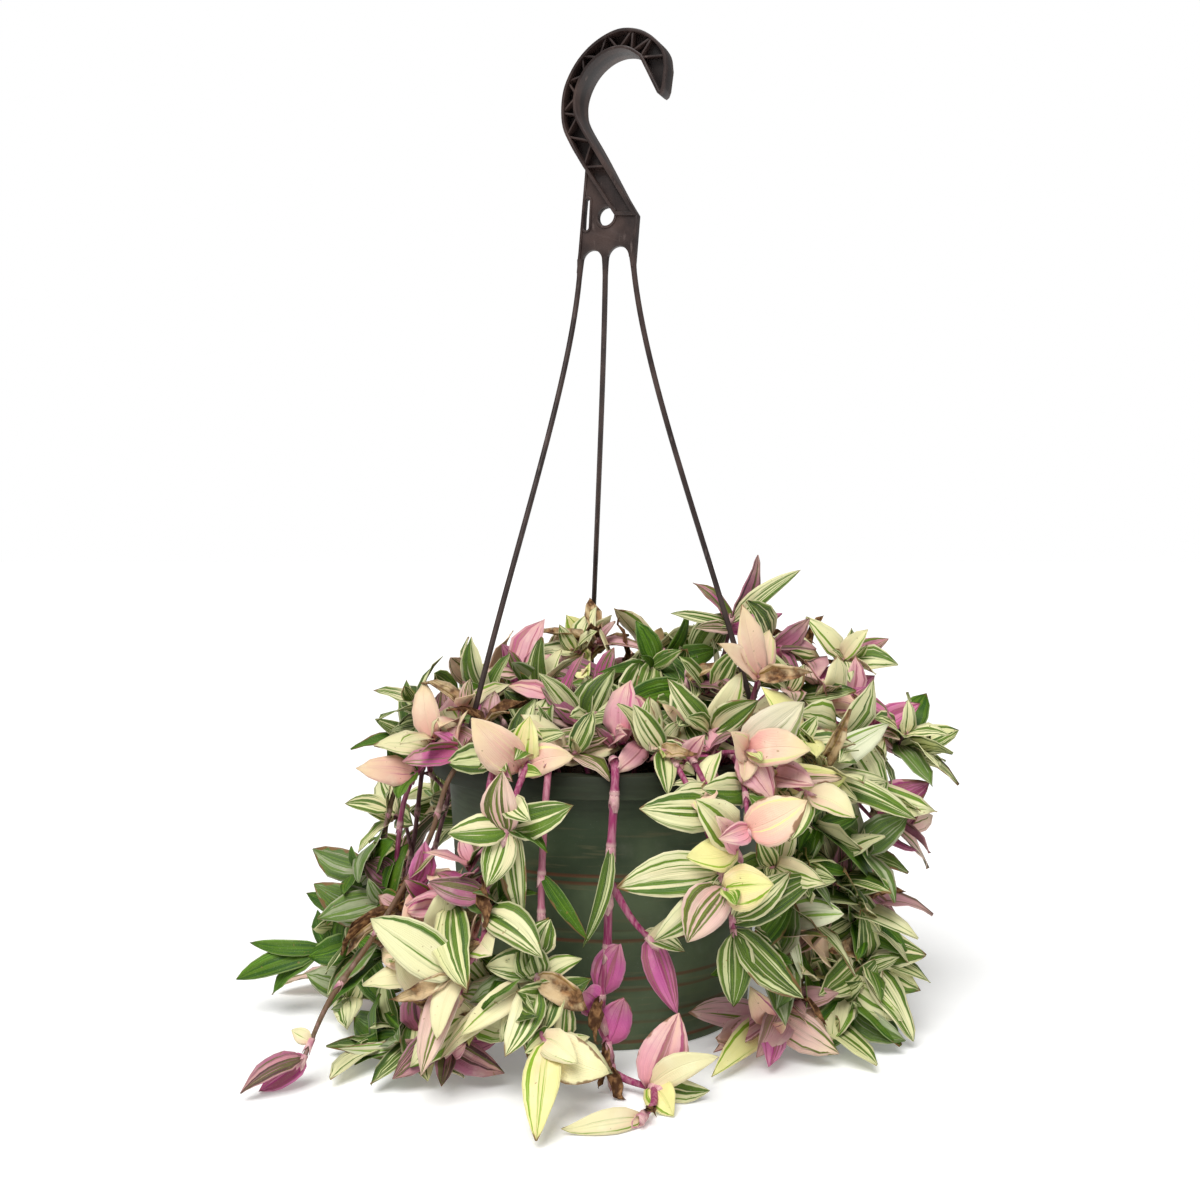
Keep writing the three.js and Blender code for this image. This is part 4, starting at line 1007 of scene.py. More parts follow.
def seenLeaf(path, row, draw):
    # a leaf of the table, turned up and towards the viewer
    back, x, y, z, width, over, sort = row
    end = pointBack(path, 0)[0]
    root, _, soft = pointBack(path, back)
    face = 0.45 * outwardAt(root) + 0.55 * viewer + 0.45 * up
    return {
        "root": root, "soft": soft, "tip": end + Vector((x, y, z)), "face": -face if over else face,
        "width": width, "arch": 0.4 + 0.5 * draw(), "fold": 0.15 + 0.25 * draw(), "sort": sort, "back": back,
    }


def sideLeaf(path, back, turn, size, draw):
    # a leaf laid out by rule, to the left and right by turns
    root, along, soft = pointBack(path, back)
    lit = 0.75 * outwardAt(root) + 0.65 * up
    side = along.cross(lit).normalized() * (0.8 if turn % 2 else -0.8)
    heading = along * (0.35 + 0.3 * draw()) + side
    heading = (heading + lit * (0.1 + 0.4 * draw())).normalized()
    reach = (30 + 14 * draw()) * size
    tip = root + heading * reach - up * (0.12 * reach)
    return {
        "root": root, "soft": soft, "tip": tip, "face": lit, "width": reach * (0.21 + 0.05 * draw()),
        "arch": 0.5 + 0.5 * draw(), "fold": 0.15 + 0.25 * draw(), "sort": None, "back": back,
    }


# the leaves of a tuft from the outside in: how far each opens, its length, and how far back it grows
tuftSize = {
    "spread": (85, 78, 66, 52, 34),
    "reach": (38, 41, 37, 30, 20),
    "back": (11, 7, 4, 2, 0),
    "turn": 137.5,      # from each leaf to the next, round the tip
}


def tuft(path, size, seen, draw):
    # the leaves crowded at a stem's tip; seen turns them to the photographed side
    point, along, _ = pointBack(path, 0)
    lit = 0.7 * outwardAt(point).lerp(viewer, seen) + 0.7 * up
    axis = (0.5 * along + 0.8 * lit).normalized()
    first = axis.cross(viewer).normalized()
    second = axis.cross(first)
    phase = 2 * math.pi * draw()
    leaves = []
    for i, (spread, long, back) in enumerate(zip(tuftSize["spread"], tuftSize["reach"], tuftSize["back"])):
        angle = phase + math.radians(tuftSize["turn"]) * i
        opened = math.radians(spread + 10 * (draw() - 0.5))
        heading = axis * math.cos(opened) + first * math.sin(opened) * math.cos(angle)
        heading += second * math.sin(opened) * math.sin(angle)
        reach = long * size * (0.85 + 0.3 * draw())
        root, _, soft = pointBack(path, back)
        leaves.append({
            "root": root, "soft": soft, "tip": point + heading * reach, "face": axis,
            "width": reach * (0.24 + 0.07 * draw()), "arch": 0.4 + 0.5 * draw(), "fold": 0.2 + 0.25 * draw(),
            "sort": None, "back": back,
        })
    return leaves


# the shoots behind, as (radius or height, how much it may grow by chance)
backSize = {
    "hanging": 8,
    "rising": 4,
    "hangRoot": (64, 9),
    "riseRoot": (34, 26),
    "lean": (14, 26),
    "top": (175, 25),
}


def chance(size, draw):
    return size[0] + size[1] * draw()


def ruledShoots():
    # some hang over the rim, one in three of them down to the floor, and some stand up
    made = []
    soil = stemSize["soilHole"]
    for i in range(backSize["hanging"]):
        draw = seeded(seeds["hanging"] + i)
        turn = 9 + 164 * (i + 0.3 * draw()) / 7.2
        low = i % 3 == 1
        swing = math.degrees(0.3 * (draw() - 0.5))
        if low:
            tip = polar(150 + 15 * draw(), turn + swing, 8)
        else:
            tip = polar(126 + 20 * draw(), turn + swing, 30 + 50 * draw())
        stem = [polar(chance(backSize["hangRoot"], draw), turn, soil), polar(93, turn, 153 + 6 * draw())]
        stem += [polar(109, turn, 138), polar(116, turn + swing / 2, 80 if low else 105)]
        if low:
            stem.append(polar(130, turn + swing, 22))
        made.append(shootOf(f"back_hanging_{i + 1}", 3 if low else 2, [*stem, tip], tuft=True))
    for i in range(backSize["rising"]):
        draw = seeded(seeds["rising"] + i)
        turn = 15 + 150 * (i + 0.5 * draw()) / 3.5
        root, lean = chance(backSize["riseRoot"], draw), chance(backSize["lean"], draw)
        stem = [polar(root, turn, soil), polar(root + 0.3 * lean, turn, 160)]
        stem.append(polar(root + lean, turn, chance(backSize["top"], draw)))
        made.append(shootOf(f"back_rising_{i + 1}", 1, stem, tuft=True))
    return made


def laid(leaf):
    # a leaf that would reach below the floor lies along it instead
    short = bladeSize["lying"] - leaf["tip"].z
    if short <= 0 or leaf["sort"]:
        return leaf
    away = outwardAt(leaf["tip"])
    tip = leaf["tip"] + away * (0.5 * short) + up * short
    return {**leaf, "tip": tip, "face": up + 0.3 * away, "arch": 0.3}


def leavesOf(shoot, index):
    draw = seeded(index + 1)
    path = shoot["path"]
    size = shoot.get("size", 1)
    leaves = [seenLeaf(path, row, draw) for row in shoot["leaves"]]
    if shoot.get("tuft"):
        leaves += tuft(path, size, shoot.get("seen", 0), draw)
    start = stemSize["tipPart"]
    free = path["length"] - (stemSize["leafless"] if shoot["rooted"] else 0) - start
    for i in range(shoot["more"]):
        leaves.append(sideLeaf(path, start + free * (i + 0.3 * draw()) / shoot["more"], i, size, draw))
    return [laid(leaf) for leaf in leaves]


# how a leaf may be bent clear of its neighbours: its tip moved along its face, and its size
bends = (
    (0, 1), (0.12, 1), (-0.12, 1), (0.24, 1), (-0.24, 1), (0.12, 0.85), (-0.12, 0.85), (0.36, 0.85),
    (-0.36, 0.85), (0.5, 0.75), (0, 0.7),
)


def bent(leaf, shift, size):
    run = leaf["tip"] - leaf["root"]
    reach = run.length
    away = (leaf["face"] - run * (leaf["face"].dot(run) / reach ** 2)).normalized()
    run = (run + away * shift * reach).normalized() * reach * size
    return {**leaf, "tip": leaf["root"] + run, "width": leaf["width"] * size}


def fitted(leaf, tree):
    # the leaf as the frame's solid has it, found by its tip
    for shift, size in bends:
        tried = bent(leaf, shift, size)
        tip = tried["tip"].copy()
        tip.z = max(tip.z, bladeSize["lowest"])
        if tree.find(tip)[2] < bladeSize["match"]:
            return tried, True
    return leaf, False


# the full blade has more faces than the plain one, which the side shoots have
bladeSize = {
    "full": (6, (0, 0.09, 0.22, 0.36, 0.5, 0.64, 0.78, 0.9, 1)),
    "plain": (4, (0, 0.12, 0.3, 0.52, 0.76, 1)),
    "first": 0.014,     # the blade starts and ends a little short of its points, so that it stays closed
    "last": 0.992,
    "thick": 0.5,
    "wave": 0.1,        # the waves along the edges, as a share of the half width
    "curl": 3.6,        # how far a dry blade is pushed about
    "curlFine": 0.24,
    "lowest": 0.6,
    "lying": 5,         # how high the tip of a leaf on the floor is
    "match": 0.3,       # how near a leaf's tip is to the tip of its solid
}


def makeBladeBlank(across, rows):
    deselect()
    bpy.ops.mesh.primitive_grid_add(x_subdivisions=across, y_subdivisions=len(rows) - 1, size=1)
    blank = bpy.context.object
    blank.name = "blade"
    blank.data.uv_layers[0].name = "leafMap"
    count = len(rows) - 1
    for loop, place in zip(blank.data.loops, blank.data.uv_layers[0].data):
        co = blank.data.vertices[loop.vertex_index].co
        place.uv = (co.x + 0.5, rows[round((co.y + 0.5) * count)])
    for v in blank.data.vertices:
        v.co = (v.co.x * 2, rows[round((v.co.y + 0.5) * count)], 0)
    modify(blank, "SOLIDIFY", thickness=1, offset=0)
    for f in blank.data.polygons:
        f.material_index = 1 if f.normal.z < -0.5 else 0
        f.use_smooth = True
    wear(blank, leafTop, leafUnder, stemSkin, huskSkin)
    return blank


def paint(thing, name, value, kind="FLOAT_COLOR"):
    layer = thing.data.attributes.new(name, kind, "POINT")
    count = len(thing.data.vertices)
    if kind == "FLOAT":
        layer.data.foreach_set("value", np.broadcast_to(value, (count,)).astype(np.float32))
    else:
        layer.data.foreach_set("color", np.broadcast_to(value, (count, 4)).astype(np.float32).ravel())


def outline(share):
    # a blade's half width along its length, 1 where it is widest
    return 2.8135 * share ** 0.6 * (1 - share) ** 0.95


def bladePoints(leaf, blank, draw):
    # across is u, along is v and through is w; the midrib is an arc, and the two halves fold up from it
    u, v, w = blank[:, 0], blank[:, 1], blank[:, 2]
    row = np.array
    root, tip, face = leaf["soft"], leaf["tip"], leaf["face"]
    chord = tip - root
    reach = chord.length
    chord.normalize()
    normal = (face - chord * face.dot(chord)).normalized()
    side = chord.cross(normal)
    dryness = leafSorts[leaf["sort"]][4]
    arch = leaf["arch"] + 0.5 * dryness
    half = arch / 2
    length = reach * half / math.sin(half)
    heading = chord * math.cos(half) + normal * math.sin(half)
    rise = normal * math.cos(half) - chord * math.sin(half)
    share = bladeSize["first"] + (bladeSize["last"] - bladeSize["first"]) * v
    turn = arch * share
    centre = row(root) + np.outer(length / arch * np.sin(turn), heading)
    centre -= np.outer(length / arch * (1 - np.cos(turn)), rise)
    lift = np.outer(np.cos(turn), rise) + np.outer(np.sin(turn), heading)
    width = leaf["width"] * outline(share) * (1 - 0.35 * dryness)
    fold = leaf["fold"] * (0.75 + 0.25 * u ** 2) + 0.7 * np.clip(1 - share / 0.16, 0, 1) + 0.8 * dryness
    twist = (draw() - 0.5) * 0.7 * (share - 0.25) * (1 + 2 * dryness)
    sideways = np.cos(twist)[:, None] * row(side) + np.sin(twist)[:, None] * lift
    lift = np.cos(twist)[:, None] * lift - np.sin(twist)[:, None] * row(side)
    size = np.abs(u)
    over = width * (np.sin(fold) * size ** 1.35 - (0.05 + 0.12 * draw()) * size ** 4)
    waves, start = 1.2 + 1.6 * draw(), draw()
    wave = np.sin(2 * math.pi * (waves * share + start + 0.23 * np.sign(u)))
    over += leaf["width"] * bladeSize["wave"] * size ** 2 * wave
    over += w * bladeSize["thick"] * (1 - 0.6 * size ** 3)
    points = centre + sideways * (width * u * np.cos(fold))[:, None] + lift * over[:, None]
    bow = (draw() - 0.5) * 0.16 * reach * np.sin(math.pi * share)
    points += row(side) * bow[:, None]
    if dryness:
        for i, p in enumerate(points):
            push = row(noise.noise_vector(Vector(p) * bladeSize["curlFine"]))
            points[i] = p + push * bladeSize["curl"] * dryness * min(share[i] * 3, 1)
    for here in np.unique(v):
        ring = v == here
        points[ring, 2] += max(bladeSize["lowest"] - points[ring, 2].min(), 0)
    return points


def addLeaf(blank, blankPoints, leaf, number):
    copy = copied(blank)
    draw = seeded(seeds["leaf"] + number)
    points = bladePoints(leaf, blankPoints, draw)
    copy.data.vertices.foreach_set("co", (points * mm).ravel())
    plain, stripe, under, cover, dryness, blush = leafSorts[leaf["sort"]]
    shade = 0.9 + 0.16 * draw()
    paint(copy, "light", np.array(rgb(*plain)) * shade)
    paint(copy, "band", np.array(rgb(*stripe)) * (0.8 + 0.4 * draw()))
    paint(copy, "under", np.array(rgb(*under)) * shade)
    cover = min(max(cover + 0.14 * (draw() - 0.5), 0), 1)
    paint(copy, "odds", (cover, dryness, blush * (0.6 + 0.8 * draw()), draw()))
    paint(copy, "run", 0.0, "FLOAT")
    return copy


def addSheath(blank, blankPoints, point, along, size, number):
    # a ragged cup round the stem at a joint
    copy = copied(blank)
    draw = seeded(seeds["sheath"] + number)
    first = along.orthogonal().normalized()
    second = along.cross(first)
    high = blankPoints[:, 2]
    flare = size * (1.1 + 0.16 * high ** 2) * np.hypot(blankPoints[:, 0], blankPoints[:, 1])
    turn = np.arctan2(blankPoints[:, 1], blankPoints[:, 0])
    jag = 1 + 0.35 * high * np.sin(turn * 2 + 6 * draw())
    reach = -1.4 + size * (2.8 + 2 * draw()) * high * jag
    points = np.array(point) + np.outer(reach, along)
    points += np.outer(flare * np.cos(turn), first) + np.outer(flare * np.sin(turn), second)
    copy.data.vertices.foreach_set("co", (points * mm).ravel())
    return copy


def jointsOf(shoot):
    # how far back from the tip the stem has its joints: where leaves grow, and some between
    length = shoot["path"]["length"]
    foot = length - stemSize["jointEnd"]
    backs = sorted({round(leaf["back"]) for leaf in shoot["grown"] if leaf["back"] < foot})
    kept = []
    for back in backs:
        if not kept or back - kept[-1] > stemSize["jointApart"]:
            kept.append(back)
    filled = []
    stops = [0, *kept, length - (stemSize["jointFoot"] if shoot["rooted"] else 0)]
    for low, high in zip(stops, stops[1:]):
        count = int((high - low) / stemSize["jointGap"])
        filled += [low + (high - low) * (k + 1) / (count + 1) for k in range(count)]
    return kept + filled


def stoutness(shoot):
    if "size" in shoot:
        return stemSize["sideRadius"]
    return stemSize["stout"].get(shoot["vine"], stemSize["radius"])


def stemRoute(shoot):
    # the stem's places and radii, how near each is to a joint, and how far along it is
    path = shoot["path"]
    length = path["length"]
    count = max(int(length / stemSize["step"]), 4)
    radius = stoutness(shoot)
    marks = [length - back for back in shoot["joints"]]
    places = sorted({*(length * i / count for i in range(count + 1)), *(m for m in marks if 0 < m < length)})
    thinned = [places[0]]
    for p in places[1:]:
        if p - thinned[-1] > stemSize["stepLeast"]:
            thinned.append(p)
    route, near = [], []
    for far in thinned:
        soft = pointBack(path, length - far)[2]
        close = max((math.exp(-((far - m) / stemSize["jointLong"]) ** 2) for m in marks), default=0)
        taper = 1 - stemSize["thin"] * max(0, (far - length + stemSize["thinRun"]) / stemSize["thinRun"])
        route.append((soft, radius * taper + stemSize["joint"] * close))
        near.append(close)
    return route, near, thinned


def addStems(shoots, tone):
    routes, near, far = zip(*(stemRoute(shoot) for shoot in shoots))
    made = rods("stems", routes, 2, caps=False)
    made.data.uv_layers[0].name = "leafMap"
    count = len(made.data.vertices)
    stations = sum(len(route) for route in routes)
    sides = count // stations
    if sides * stations != count:
        raise ValueError("stem rings and stations differ")
    close = np.repeat(np.concatenate(near), sides)
    odds = np.zeros((count, 4))
    odds[:, 0] = close
    odds[:, 1] = tone == "olive"
    odds[:, 3] = 0.5
    paint(made, "light", rgb(*stemTones[tone]))
    paint(made, "odds", odds)
    paint(made, "run", np.repeat(np.concatenate(far), sides), "FLOAT")
    edit(made, "ALL")
    bpy.ops.mesh.fill_holes(sides=sides)
    bpy.ops.mesh.normals_make_consistent(inside=False)
    leave()
    wear(made, leafTop, leafUnder, stemSkin, huskSkin)
    for f in made.data.polygons:
        f.material_index = 2
        f.use_smooth = True
    return made


# the shoots of the photographed side: vine, leaves laid out by rule, the stem from the soil or a parent stem
# to its tip, then each leaf as distance back from the tip, its own tip from the stem's tip, half width,
# 1 if turned over, its sort
frontShoots = [
    shootOf("centre", 0, [
        (2, -72, 116), (3, -92, 152), (4, -105, 144), (1, -110, 96), (0, -112, 62), (-3, -114, 38),
        (2, -125, 8),
    ], [
        (34, 4, 4, 60, 9, 1, "magenta"), (27, -14, 0, 38, 8, 1, "magenta"), (12, 6, 1, 35, 9, 1, "magenta"),
        (34, -7, 1, 14, 8, 0, "dry"), (14, -5, -6, -5, 8, 0, "dry"), (2, 5, -12, -13, 8, 0, "dry"),
        (108, -14, 4, 58, 4, 0, "darkStripe"),
    ]),
    shootOf("centre", 0, [(3, -110, 91), (12, -113, 78), (22, -116, 68)], [
        (2, 12, -5, -34, 8, 1, "magenta"), (2, 9, -7, 15, 3, 0, "cream"), (6, 16, -1, -5, 5, 0, "stripe"),
    ]),
    shootOf("centre", 0, [(1, -123, 12), (10, -130, 6), (22, -139, 6)], [
        (3, 12, 5, 34, 12, 0, "pink"), (3, 31, -3, 17, 7, 0, "cream"), (1, 8, -17, -5, 8, 0, "yellow"),
        (6, 26, -2, 0, 6.5, 0, "stripe"),
    ]),
    shootOf("star", 1, [(-28, -66, 116), (-37, -91, 152), (-44, -107, 141), (-49, -119, 121)], [
        (1, -1, -8, 32, 9.5, 0, "pinkStripe"), (2, -28, -5, 1, 8.5, 0, "stripe"),
        (3, 33, -6, 15, 9.5, 0, "stripe"), (2, -9, -8, -24, 9, 0, "stripe"),
        (7, 8, 0, -44, 7.5, 0, "stripe"),
    ]),
    shootOf("salmon_left", 1, [(-42, -48, 116), (-44, -72, 152), (-43, -95, 147)], [
        (2, -25, -6, 28, 11.5, 0, "salmon"), (2, 4, 2, 28, 9, 0, "yellow"), (1, 27, -10, 9, 9, 0, "salmon"),
        (4, 30, -6, -9, 8, 0, "cream"), (0, 11, -15, 1, 4, 0, "bud"),
    ]),
    shootOf("front_left", 0, [
        (-24, -70, 116), (-28, -90, 153), (-30, -107, 140), (-32, -116, 100), (-32, -124, 67),
        (-35, -138, 42), (-27, -153, 31),
    ], [
        (2, -4, -33, -27, 9, 0, "yellow"), (2, 28, -9, -8, 11, 0, "cream"),
        (5, 14, -15, -1, 7.5, 0, "cream"), (34, -42, 11, 1, 7, 0, "cream"),
        (32, -20, 3, -7, 9, 0, "stripe"), (36, 18, 19, 11, 10, 0, "tan"),
        (40, -31, 21, 30, 8.5, 0, "stripe"), (48, 0, 26, 51, 7.5, 0, "stripe"),
        (84, 18, 27, 40, 4, 0, "green"), (30, -52, 15, -12, 6, 0, "cream"),
    ]),
    shootOf("left_front", 1, [
        (-46, -60, 116), (-53, -82, 152), (-59, -98, 141), (-59, -117, 100), (-60, -126, 70),
        (-74, -132, 55),
    ], [
        (2, -40, 10, 26, 12, 0, "stripe"), (3, -29, -6, -8, 6.5, 0, "tan"),
        (2, -12, -18, -39, 8.5, 0, "pinkStripe"), (5, -3, -14, -26, 6.5, 0, "cream"),
        (44, -13, 15, 42, 7.5, 0, "purple"), (52, 18, 5, 21, 8, 0, "dry"),
    ]),
    shootOf("left_front", 3, [(-59, -116, 102), (-76, -113, 84), (-90, -106, 44), (-94, -96, 7)], [
        (3, -35, 4, 0, 8, 0, "green"), (8, -20, 10, 16, 7, 0, "green"), (3, -41, -4, 2, 4, 0, "pale"),
        (5, 39, -12, 9, 11, 1, "magenta"),
    ]),
    shootOf("long_left", 0, [
        (-56, -48, 116), (-68, -63, 154), (-82, -74, 140), (-91, -78, 112), (-102, -86, 90),
        (-119, -95, 62), (-136, -112, 38), (-146, -126, 14),
    ], [
        (1, -26, -14, -10, 6, 0, "purple"), (2, -20, -5, -13, 7, 1, "magenta"),
        (9, -7, 6, 12, 4, 0, "cream"),
    ]),
    shootOf("fan", 1, [
        (-60, -20, 116), (-78, -26, 153), (-98, -32, 146), (-112, -37, 120), (-122, -40, 62),
        (-161, -28, 33),
    ], [
        (5, -41, 6, 4, 5, 0, "green"), (3, -46, -3, -14, 8.5, 0, "green"),
        (2, -24, -10, -20, 7.5, 0, "green"), (8, -3, 8, 22, 5.5, 0, "green"),
        (14, 15, -9, 22, 8, 0, "green"), (46, 1, -18, 44, 11.5, 0, "grey"), (40, -8, 2, 33, 7, 0, "green"),
        (66, 27, -10, 54, 9, 0, "purple"),
    ]),
    shootOf("lip_left", 0, [(-64, -34, 116), (-82, -40, 156), (-106, -44, 135)], [
        (2, -30, -8, 6, 9, 0, "salmonMagenta"), (2, -5, -18, -9, 7, 0, "green"),
        (4, -16, 4, 17, 6, 0, "green"),
    ]),
    shootOf("folded", 0, [(-54, -8, 116), (-74, -14, 157), (-93, -26, 155)], [
        (1, -11, -20, -24, 7, 0, "salmon"), (2, 4, -24, -22, 7.5, 0, "tan"), (3, 0, 6, 25, 8, 0, "purple"),
        (2, 15, -4, 26, 9, 0, "pink"),
    ]),
    shootOf("spear", 1, [(-62, 8, 116), (-86, 8, 159), (-116, 2, 148)], [
        (2, -2, 6, 35, 7.5, 0, "greenCream"), (4, -19, -4, 13, 5, 0, "greenCream"),
        (3, -32, -10, -4, 5, 0, "green"),
    ]),
    shootOf("left_leg", 1, [(-42, -18, 116), (-56, -16, 156), (-69, -12, 177)], [
        (1, -8, -3, 33, 9, 0, "stripe"), (2, 14, 4, 23, 6, 0, "greenCream"),
        (4, -13, -24, -3, 8, 1, "magenta"), (3, -12, -16, 7, 4, 0, "green"),
    ]),
    shootOf("behind_leg", 2, [(-38, 18, 116), (-46, 20, 158), (-51, 20, 177)], [
        (2, -12, 4, 26, 8, 1, "magenta"),
    ]),
    shootOf("dark_spear", 1, [(-22, -6, 116), (-32, -6, 158), (-38, -6, 176)], [
        (2, 1, 2, 33, 8.5, 0, "darkStripe"), (4, -11, -12, 14, 4, 0, "green"),
        (3, 12, 10, 25, 7, 0, "cream"),
    ]),
    shootOf("lance", 1, [(-10, -34, 116), (-16, -38, 158), (-14, -46, 164)], [
        (2, -23, -8, 29, 7, 0, "stripe"), (1, 8, 6, 29, 4, 1, "magenta"),
        (4, -31, -14, 8, 6, 0, "pinkStripe"), (2, 9, -24, 10, 4, 0, "pink"),
        (3, 26, -4, 14, 6, 0, "stripe"),
    ]),
    shootOf("pale_back", 1, [(-18, 42, 116), (-22, 50, 160), (-11, 58, 189)], [
        (2, -14, 0, 30, 12, 0, "yellow"), (4, -23, -14, 1, 7, 0, "pink"),
    ]),
    shootOf("dry_curl", 1, [(6, 30, 116), (5, 38, 158), (6, 42, 178)], [
        (3, -10, -4, 33, 9, 0, "cream"), (2, 11, 4, 26, 6, 0, "dry"), (1, -3, 8, 39, 5, 0, "dry"),
    ]),
    shootOf("all_green", 1, [(30, 8, 116), (35, 14, 160), (34, 20, 195)], [
        (2, -18, -2, 17, 6.5, 0, "green"), (1, 15, -4, 29, 4.5, 0, "green"),
        (3, -39, -12, -8, 4.5, 0, "green"), (8, 34, 6, 4, 9.5, 0, "green"),
        (14, -7, -24, -40, 9, 0, "pinkStripe"),
    ]),
    shootOf("centre_right", 1, [(42, -14, 116), (46, -10, 158), (47, -10, 187)], [
        (2, 18, -8, 7, 6, 0, "tan"), (2, 2, -22, -11, 5, 0, "greenCream"),
        (3, 27, -14, -11, 8.5, 0, "purple"), (8, -44, -24, -19, 9.5, 0, "green"),
    ]),
    shootOf("crown", 0, [(54, 20, 116), (64, 22, 165), (71, 17, 198), (75, 14, 218)], [
        (1, 16, 2, 39, 6.5, 0, "purple"), (2, 41, -4, 30, 6, 0, "stripe"),
        (3, -23, 6, 22, 7, 0, "magentaGreen"), (4, -37, -6, 4, 6, 0, "stripe"),
        (6, -24, -22, -4, 5, 0, "pinkStripe"), (5, 33, 16, 3, 7.5, 1, "magenta"),
    ]),
    shootOf("salmon_cup", 0, [(60, -34, 116), (74, -46, 160), (83, -49, 192)], [
        (1, -10, -5, 38, 9.5, 0, "salmon"), (3, -25, -21, 18, 8, 0, "salmon"),
        (3, 27, -11, 2, 8.5, 0, "tan"), (1, 8, 5, 24, 7.5, 0, "salmon"),
    ]),
    shootOf("purple_right", 1, [(66, 4, 116), (84, 2, 165), (94, -6, 206)], [
        (2, 27, -6, -4, 6.5, 0, "purple"), (2, -8, 12, 13, 6, 1, "magenta"),
    ]),
    shootOf("far_top", 1, [(66, 24, 116), (96, 27, 170), (124, 20, 185), (142, 12, 192)], [
        (4, -21, -4, 23, 6, 0, "stripe"), (2, 5, 4, 21, 6.5, 0, "greenCream"),
        (2, 26, -2, 15, 7, 0, "magentaGreen"), (1, 11, -14, 10, 5, 0, "greenCream"),
    ]),
    shootOf("mid_stripe", 1, [(72, -12, 116), (96, -15, 166), (123, -27, 173)], [
        (2, 5, -9, 28, 11, 0, "cream"), (3, 20, -9, -1, 8.5, 0, "salmonMagenta"),
        (5, 25, 7, 9, 4, 1, "magenta"),
    ]),
    shootOf("far_right", 1, [(78, 10, 116), (98, 11, 158), (130, 8, 159), (170, 1, 141)], [
        (2, 6, -4, 29, 8.5, 0, "stripe"), (1, 24, -9, 1, 7, 0, "stripe"), (4, 25, 7, 8, 6, 0, "green"),
        (3, 10, -15, -11, 5.5, 0, "green"), (8, -7, 9, 24, 6, 0, "green"),
    ]),
    shootOf("pink_star", 0, [(44, -62, 116), (55, -82, 153), (71, -98, 157)], [
        (1, 30, -11, 3, 10.5, 0, "salmon"), (4, 29, 5, 25, 12, 0, "creamGrey"),
        (2, -10, -12, 12, 8, 0, "salmon"), (1, -4, -12, -13, 6, 0, "salmon"),
        (4, 12, -14, -18, 10.5, 0, "pink"), (0, 5, -14, -2, 3.5, 0, "bud"),
    ]),
    shootOf("long_stripe", 1, [(70, -36, 116), (92, -47, 156), (113, -62, 137)], [
        (1, 50, -10, -20, 9, 0, "stripe"), (3, 40, 6, -1, 7.5, 0, "stripe"), (4, 16, -4, 38, 8, 0, "tan"),
        (7, 42, 18, 27, 8.5, 0, "pale"), (2, 16, -22, -7, 7, 0, "stripe"),
    ]),
    shootOf("magenta_right", 1, [(76, -3, 116), (94, -12, 154), (124, -25, 134), (151, -30, 107)], [
        (2, 30, 0, 22, 12.5, 1, "magenta"), (1, 22, -6, -15, 4, 1, "magenta"),
        (6, -11, -16, 21, 7, 0, "tan"),
    ]),
    shootOf("stripe_mid", 1, [(32, -38, 116), (42, -50, 156), (57, -66, 163)], [
        (4, -16, -14, 9, 5.5, 0, "greenCream"), (1, 22, -12, 18, 9, 0, "stripe"),
        (5, 15, 6, 31, 8, 0, "cream"), (3, -25, 2, 28, 8, 0, "stripe"),
    ]),
    shootOf("cup_mid", 1, [(14, -54, 116), (20, -70, 156), (29, -88, 156)], [
        (3, -16, -5, 25, 8, 0, "stripe"), (1, 0, -18, -23, 6, 0, "greenCream"),
        (2, 18, -10, -3, 6, 0, "tan"), (0, -4, -12, -8, 4.5, 0, "bud"),
    ]),
    shootOf("right_cup", 0, [(33, -66, 116), (41, -86, 153), (50, -107, 140), (63, -119, 112)], [
        (20, -48, -4, 22, 10.5, 0, "stripe"), (4, -21, -11, 28, 11, 0, "creamGreen"),
        (2, -26, -17, 2, 9, 0, "yellow"), (1, -12, -15, 21, 6.5, 0, "pink"),
    ]),
    shootOf("front_right", 0, [
        (24, -70, 116), (31, -90, 153), (42, -110, 138), (50, -119, 118), (56, -130, 96),
    ], [
        (1, 22, -10, 6, 11.5, 0, "yellow"), (2, -19, -11, -21, 11.5, 0, "pinkStripe"),
        (4, -34, -2, -23, 8, 0, "stripe"), (9, -52, 2, 1, 11.5, 0, "stripe"), (0, 4, -13, -3, 5, 0, "bud"),
    ]),
    shootOf("front_right", 0, [(49, -118, 119), (58, -122, 96), (61, -124, 74)], [
        (1, -1, -3, -34, 9.5, 0, "darkStripe"), (2, 34, 2, -32, 9.5, 0, "darkStripe"),
        (5, 42, 12, 25, 9.5, 0, "darkStripe"), (8, 28, 4, 29, 8, 0, "stripe"),
    ]),
    shootOf("yellow_right", 1, [(52, -54, 116), (63, -77, 153), (68, -102, 143), (68, -124, 123)], [
        (1, 27, -8, 17, 12, 0, "salmon"), (1, -16, -14, 0, 6, 0, "pink"),
    ]),
    shootOf("cream_right", 2, [(56, -50, 116), (74, -67, 153), (86, -82, 143), (101, -98, 136)], [
        (1, 22, -10, -10, 8.5, 0, "cream"), (2, -12, -10, -22, 7, 0, "stripe"),
    ]),
    shootOf("right_stem", 1, [
        (64, -41, 116), (79, -55, 154), (92, -76, 136), (94, -84, 100), (91, -88, 49),
    ], [
        (22, 29, -8, 26, 9, 0, "pale"), (18, 7, -10, -6, 4, 0, "pale"),
        (40, 24, -12, 44, 8, 0, "darkStripe"), (30, -24, -20, 6, 7, 0, "green"),
    ]),
    shootOf("right_stem", 0, [(91, -88, 52), (93, -80, 26), (90, -65, 6)], [
        (6, -48, -21, 16, 9, 1, "pinkGreen"), (4, -43, -31, 4, 9.5, 1, "dullPink"),
